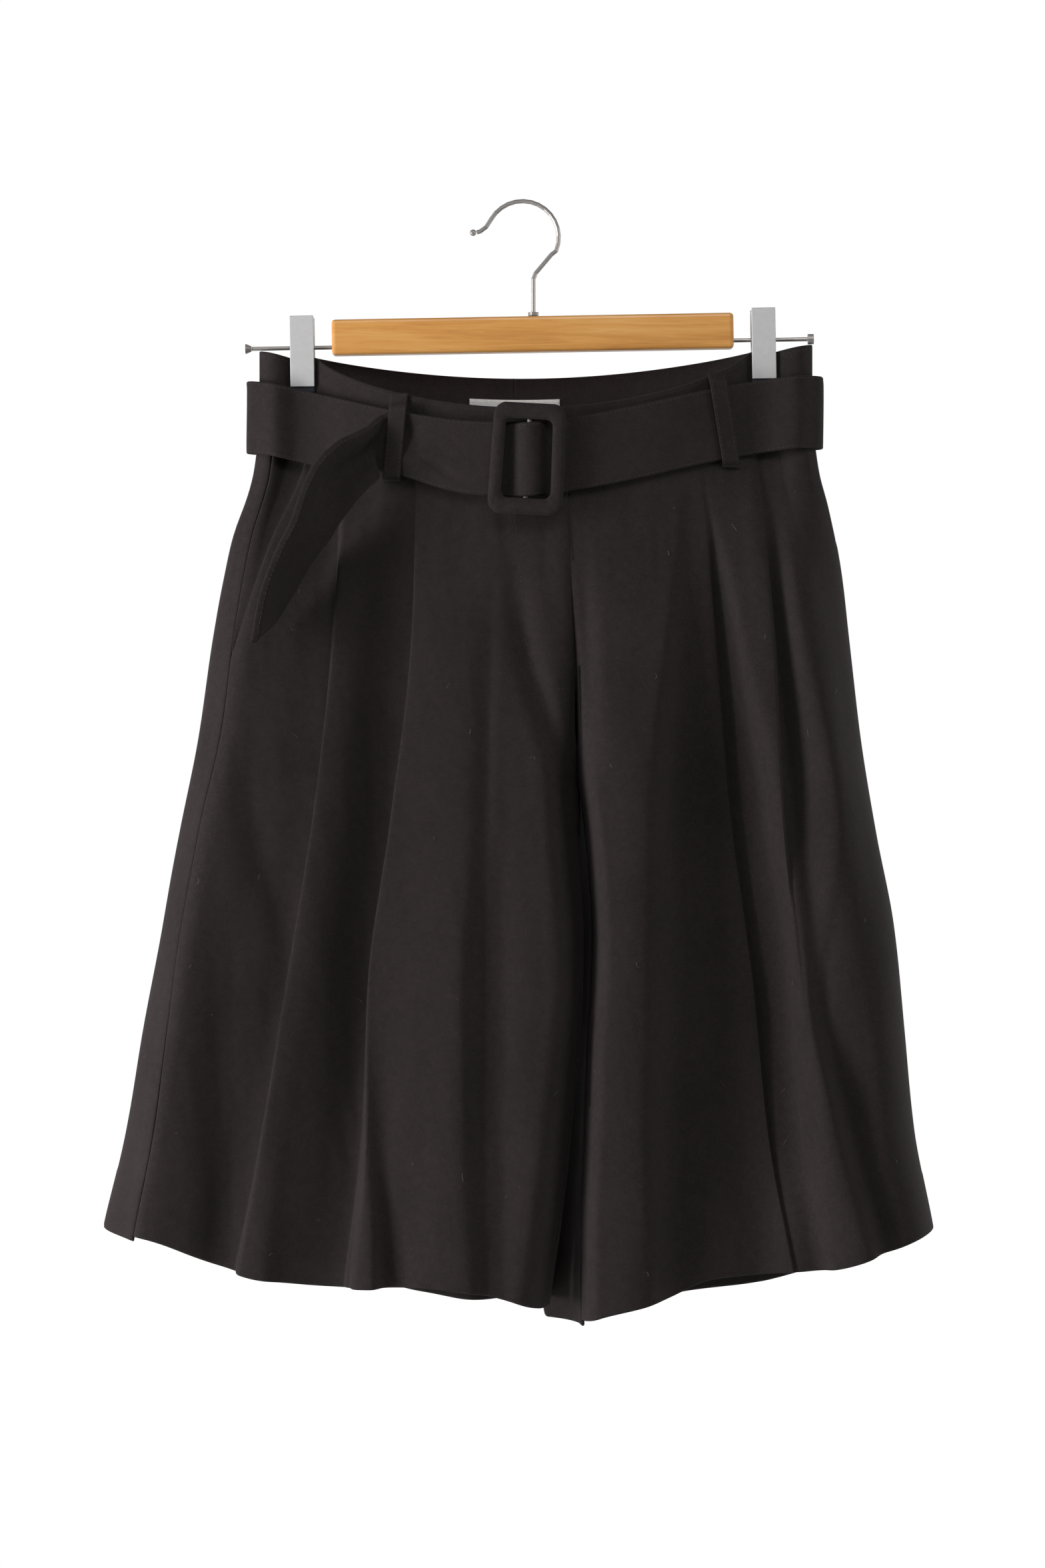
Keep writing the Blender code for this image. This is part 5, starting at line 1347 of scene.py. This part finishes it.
# The first start of a name that fits gives a hard piece its finish
HARD_FINISHES = (("hanger_bar", "wood"), ("clip_pad", "pad"), ("clip_", "clip"), ("hanger", "steel"),
                 ("buckle_bar", "steel"))


def finish_hanger():
    """The CAD's hard pieces keep their shape and take the finished materials."""
    for name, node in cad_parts.items():
        kinds = [kind for start, kind in HARD_FINISHES if name.startswith(start)]
        if kinds:
            for place in node.material_slots:
                place.material = FINISH[kinds[0]]


# ---------------------------------------------------------------- stage, lights, camera

PHOTO_HEIGHT = 1.082
CAMERA_DISTANCE = 2.4
CAMERA_Z = -0.4007
WORLD = 0.03
BACK_GLOW = 0.2
FLOOR_RADIUS = 0.9
FLOOR_Z = -1.15
FLOOR_SIDES = 96
SHEET_Y = 1.2
SHEET_SIDE = 4.0
SHEET_TOP = 2.6
# Area lights: where each stands, what it is aimed at, its width and height, and its power
LIGHTS = {
    "left_softbox": ((-1.55, -0.68, -0.5), (-0.1, 0.0, -0.45), (0.5, 1.3), 29.5),
    "upper_left": ((-1.25, -0.95, 0.55), (0.0, 0.0, -0.2), (0.6, 0.6), 5.0),
    "right_softbox": ((1.5, -0.45, -0.15), (0.1, 0.0, -0.4), (0.5, 1.5), 6.5),
    "top_fill": ((0.25, -1.3, 0.9), (0.0, 0.0, -0.25), (1.0, 0.6), 7.5),
    "back_softbox": ((1.5, 0.7, -0.4), (0.1, 0.0, -0.45), (0.5, 1.3), 5.0),
}


def add_camera():
    camera = bpy.data.cameras.new("camera")
    camera.sensor_fit = "VERTICAL"
    camera.angle_y = 2 * math.atan(PHOTO_HEIGHT / 2 / CAMERA_DISTANCE)
    holder = add_object("camera", camera)
    holder.location = (0.0, -CAMERA_DISTANCE, CAMERA_Z)
    holder.rotation_euler = (math.pi / 2, 0.0, 0.0)
    bpy.context.scene.camera = holder


def add_paper(name, rim, glow):
    mesh = bpy.data.meshes.new(name)
    mesh.from_pydata(rim, [], [range(len(rim))])
    mesh.materials.append(plain_material(f"{name}_white", (0.9, 0.9, 0.9), glow))
    paper = add_object(name, mesh)
    return paper


def add_stage():
    """A round pale floor, and a lit sheet behind that only gives light and reflections."""
    angles = [2 * math.pi * step / FLOOR_SIDES for step in range(FLOOR_SIDES)]
    rim = [(FLOOR_RADIUS * math.cos(angle), FLOOR_RADIUS * math.sin(angle), FLOOR_Z) for angle in angles]
    add_paper("floor", rim, 0.0)
    sheet = [(-SHEET_SIDE, SHEET_Y, FLOOR_Z), (SHEET_SIDE, SHEET_Y, FLOOR_Z),
             (SHEET_SIDE, SHEET_Y, SHEET_TOP), (-SHEET_SIDE, SHEET_Y, SHEET_TOP)]
    add_paper("back_light_sheet", sheet, BACK_GLOW).visible_camera = False


def add_lights():
    for name, (place, aim, size, power) in LIGHTS.items():
        light = bpy.data.lights.new(name, "AREA")
        light.shape = "RECTANGLE"
        light.size, light.size_y = size
        light.energy = power
        holder = add_object(name, light)
        holder.location = place
        holder.rotation_euler = (Vector(aim) - Vector(place)).to_track_quat("-Z", "Y").to_euler()


def add_world():
    """White to the camera, and dim to everything that it lights."""
    world = bpy.data.worlds.new("studio")
    world.use_nodes = True
    tree = world.node_tree
    dim = tree.nodes["Background"]
    white = add_node(tree, "ShaderNodeBackground")
    for node in (dim, white):
        node.inputs["Color"].default_value = (1.0, 1.0, 1.0, 1.0)
    dim.inputs["Strength"].default_value = WORLD
    rays = add_node(tree, "ShaderNodeLightPath")
    either = add_node(tree, "ShaderNodeMixShader", rays.outputs["Is Camera Ray"])
    tree.links.new(dim.outputs[0], either.inputs[1])
    tree.links.new(white.outputs[0], either.inputs[2])
    tree.links.new(either.outputs[0], tree.nodes["World Output"].inputs["Surface"])
    bpy.context.scene.world = world
    bpy.context.scene.view_settings.view_transform = "Standard"


# ---------------------------------------------------------------- the making

PIXEL = 0.46
PHOTO_CENTRE = (784, 305)
# The fly's stitched line, curving in to its foot, and the short bar at the bottom, as places in the photo
FLY_LINES = (
    [(772, 772), (776, 820), (783, 880), (789, 940), (795, 990), (802, 1012), (815, 1026), (832, 1032)],
    [(836, 1031), (861, 1033)],
)


def line_from_photo(grid, pixels):
    """A line on the front of a grid that passes through these places of the photograph."""
    near = 1 + grid[..., 1] / (CAMERA_DISTANCE * 1000)
    level = CAMERA_Z * 1000
    seen_x = grid[..., 0] / near
    seen_z = level + (grid[..., 2] - level) / near
    normal = normals_towards(grid, -DEPTH_ONLY)
    line = []
    for px, py in catmull(pixels, [12] * (len(pixels) - 1)):
        x, z = (px - PHOTO_CENTRE[0]) * PIXEL, (PHOTO_CENTRE[1] - py) * PIXEL
        away = ((seen_x - x) ** 2 + (seen_z - z) ** 2).ravel()
        best = np.argsort(away)[:4]
        weight = 1 / (away[best] + 0.05)
        weight /= weight.sum()
        point, out = ((values.reshape(-1, 3)[best] * weight[:, None]).sum(axis=0)
                      for values in (grid, normal))
        line.append((point, unit(out)))
    return line


def make_everything():
    grids = {}
    for leg in ("left", "right"):
        for face in ("front", "back"):
            grids[leg, face] = add_panel_piece(leg, face)
        add_facing_piece(leg)
    low, high = WAIST_ENDS
    lines = add_band_piece("waistband_front_left", "front", low, FRONT_SPLIT_X)
    lines += add_band_piece("waistband_front_right", "front", FRONT_SPLIT_X, high)
    lines += add_band_piece("waistband_back_left", "back", low, BACK_SPLIT_X)
    lines += add_band_piece("waistband_back_right", "back", BACK_SPLIT_X, high)
    add_stitches("waistband_stitches", lines, 2.3, 0.9, 0.16)
    add_stitches("belt_stitches", add_belt_piece(), 2.5, 0.8, 0.18)
    lines = [line for loop in LOOPS for line in add_loop_piece(*loop)]
    add_stitches("loop_stitches", lines, 2.2, 0.8, 0.18)
    lines = [line_from_photo(grids["left", "front"], pixels) for pixels in FLY_LINES]
    add_stitches("fly_stitches", lines, 2.2, 1.0, 0.2)
    add_buckle_piece()
    add_label_piece()
    finish_hanger()
    add_lint(grids.values())


add_camera()
add_stage()
add_lights()
add_world()
make_everything()
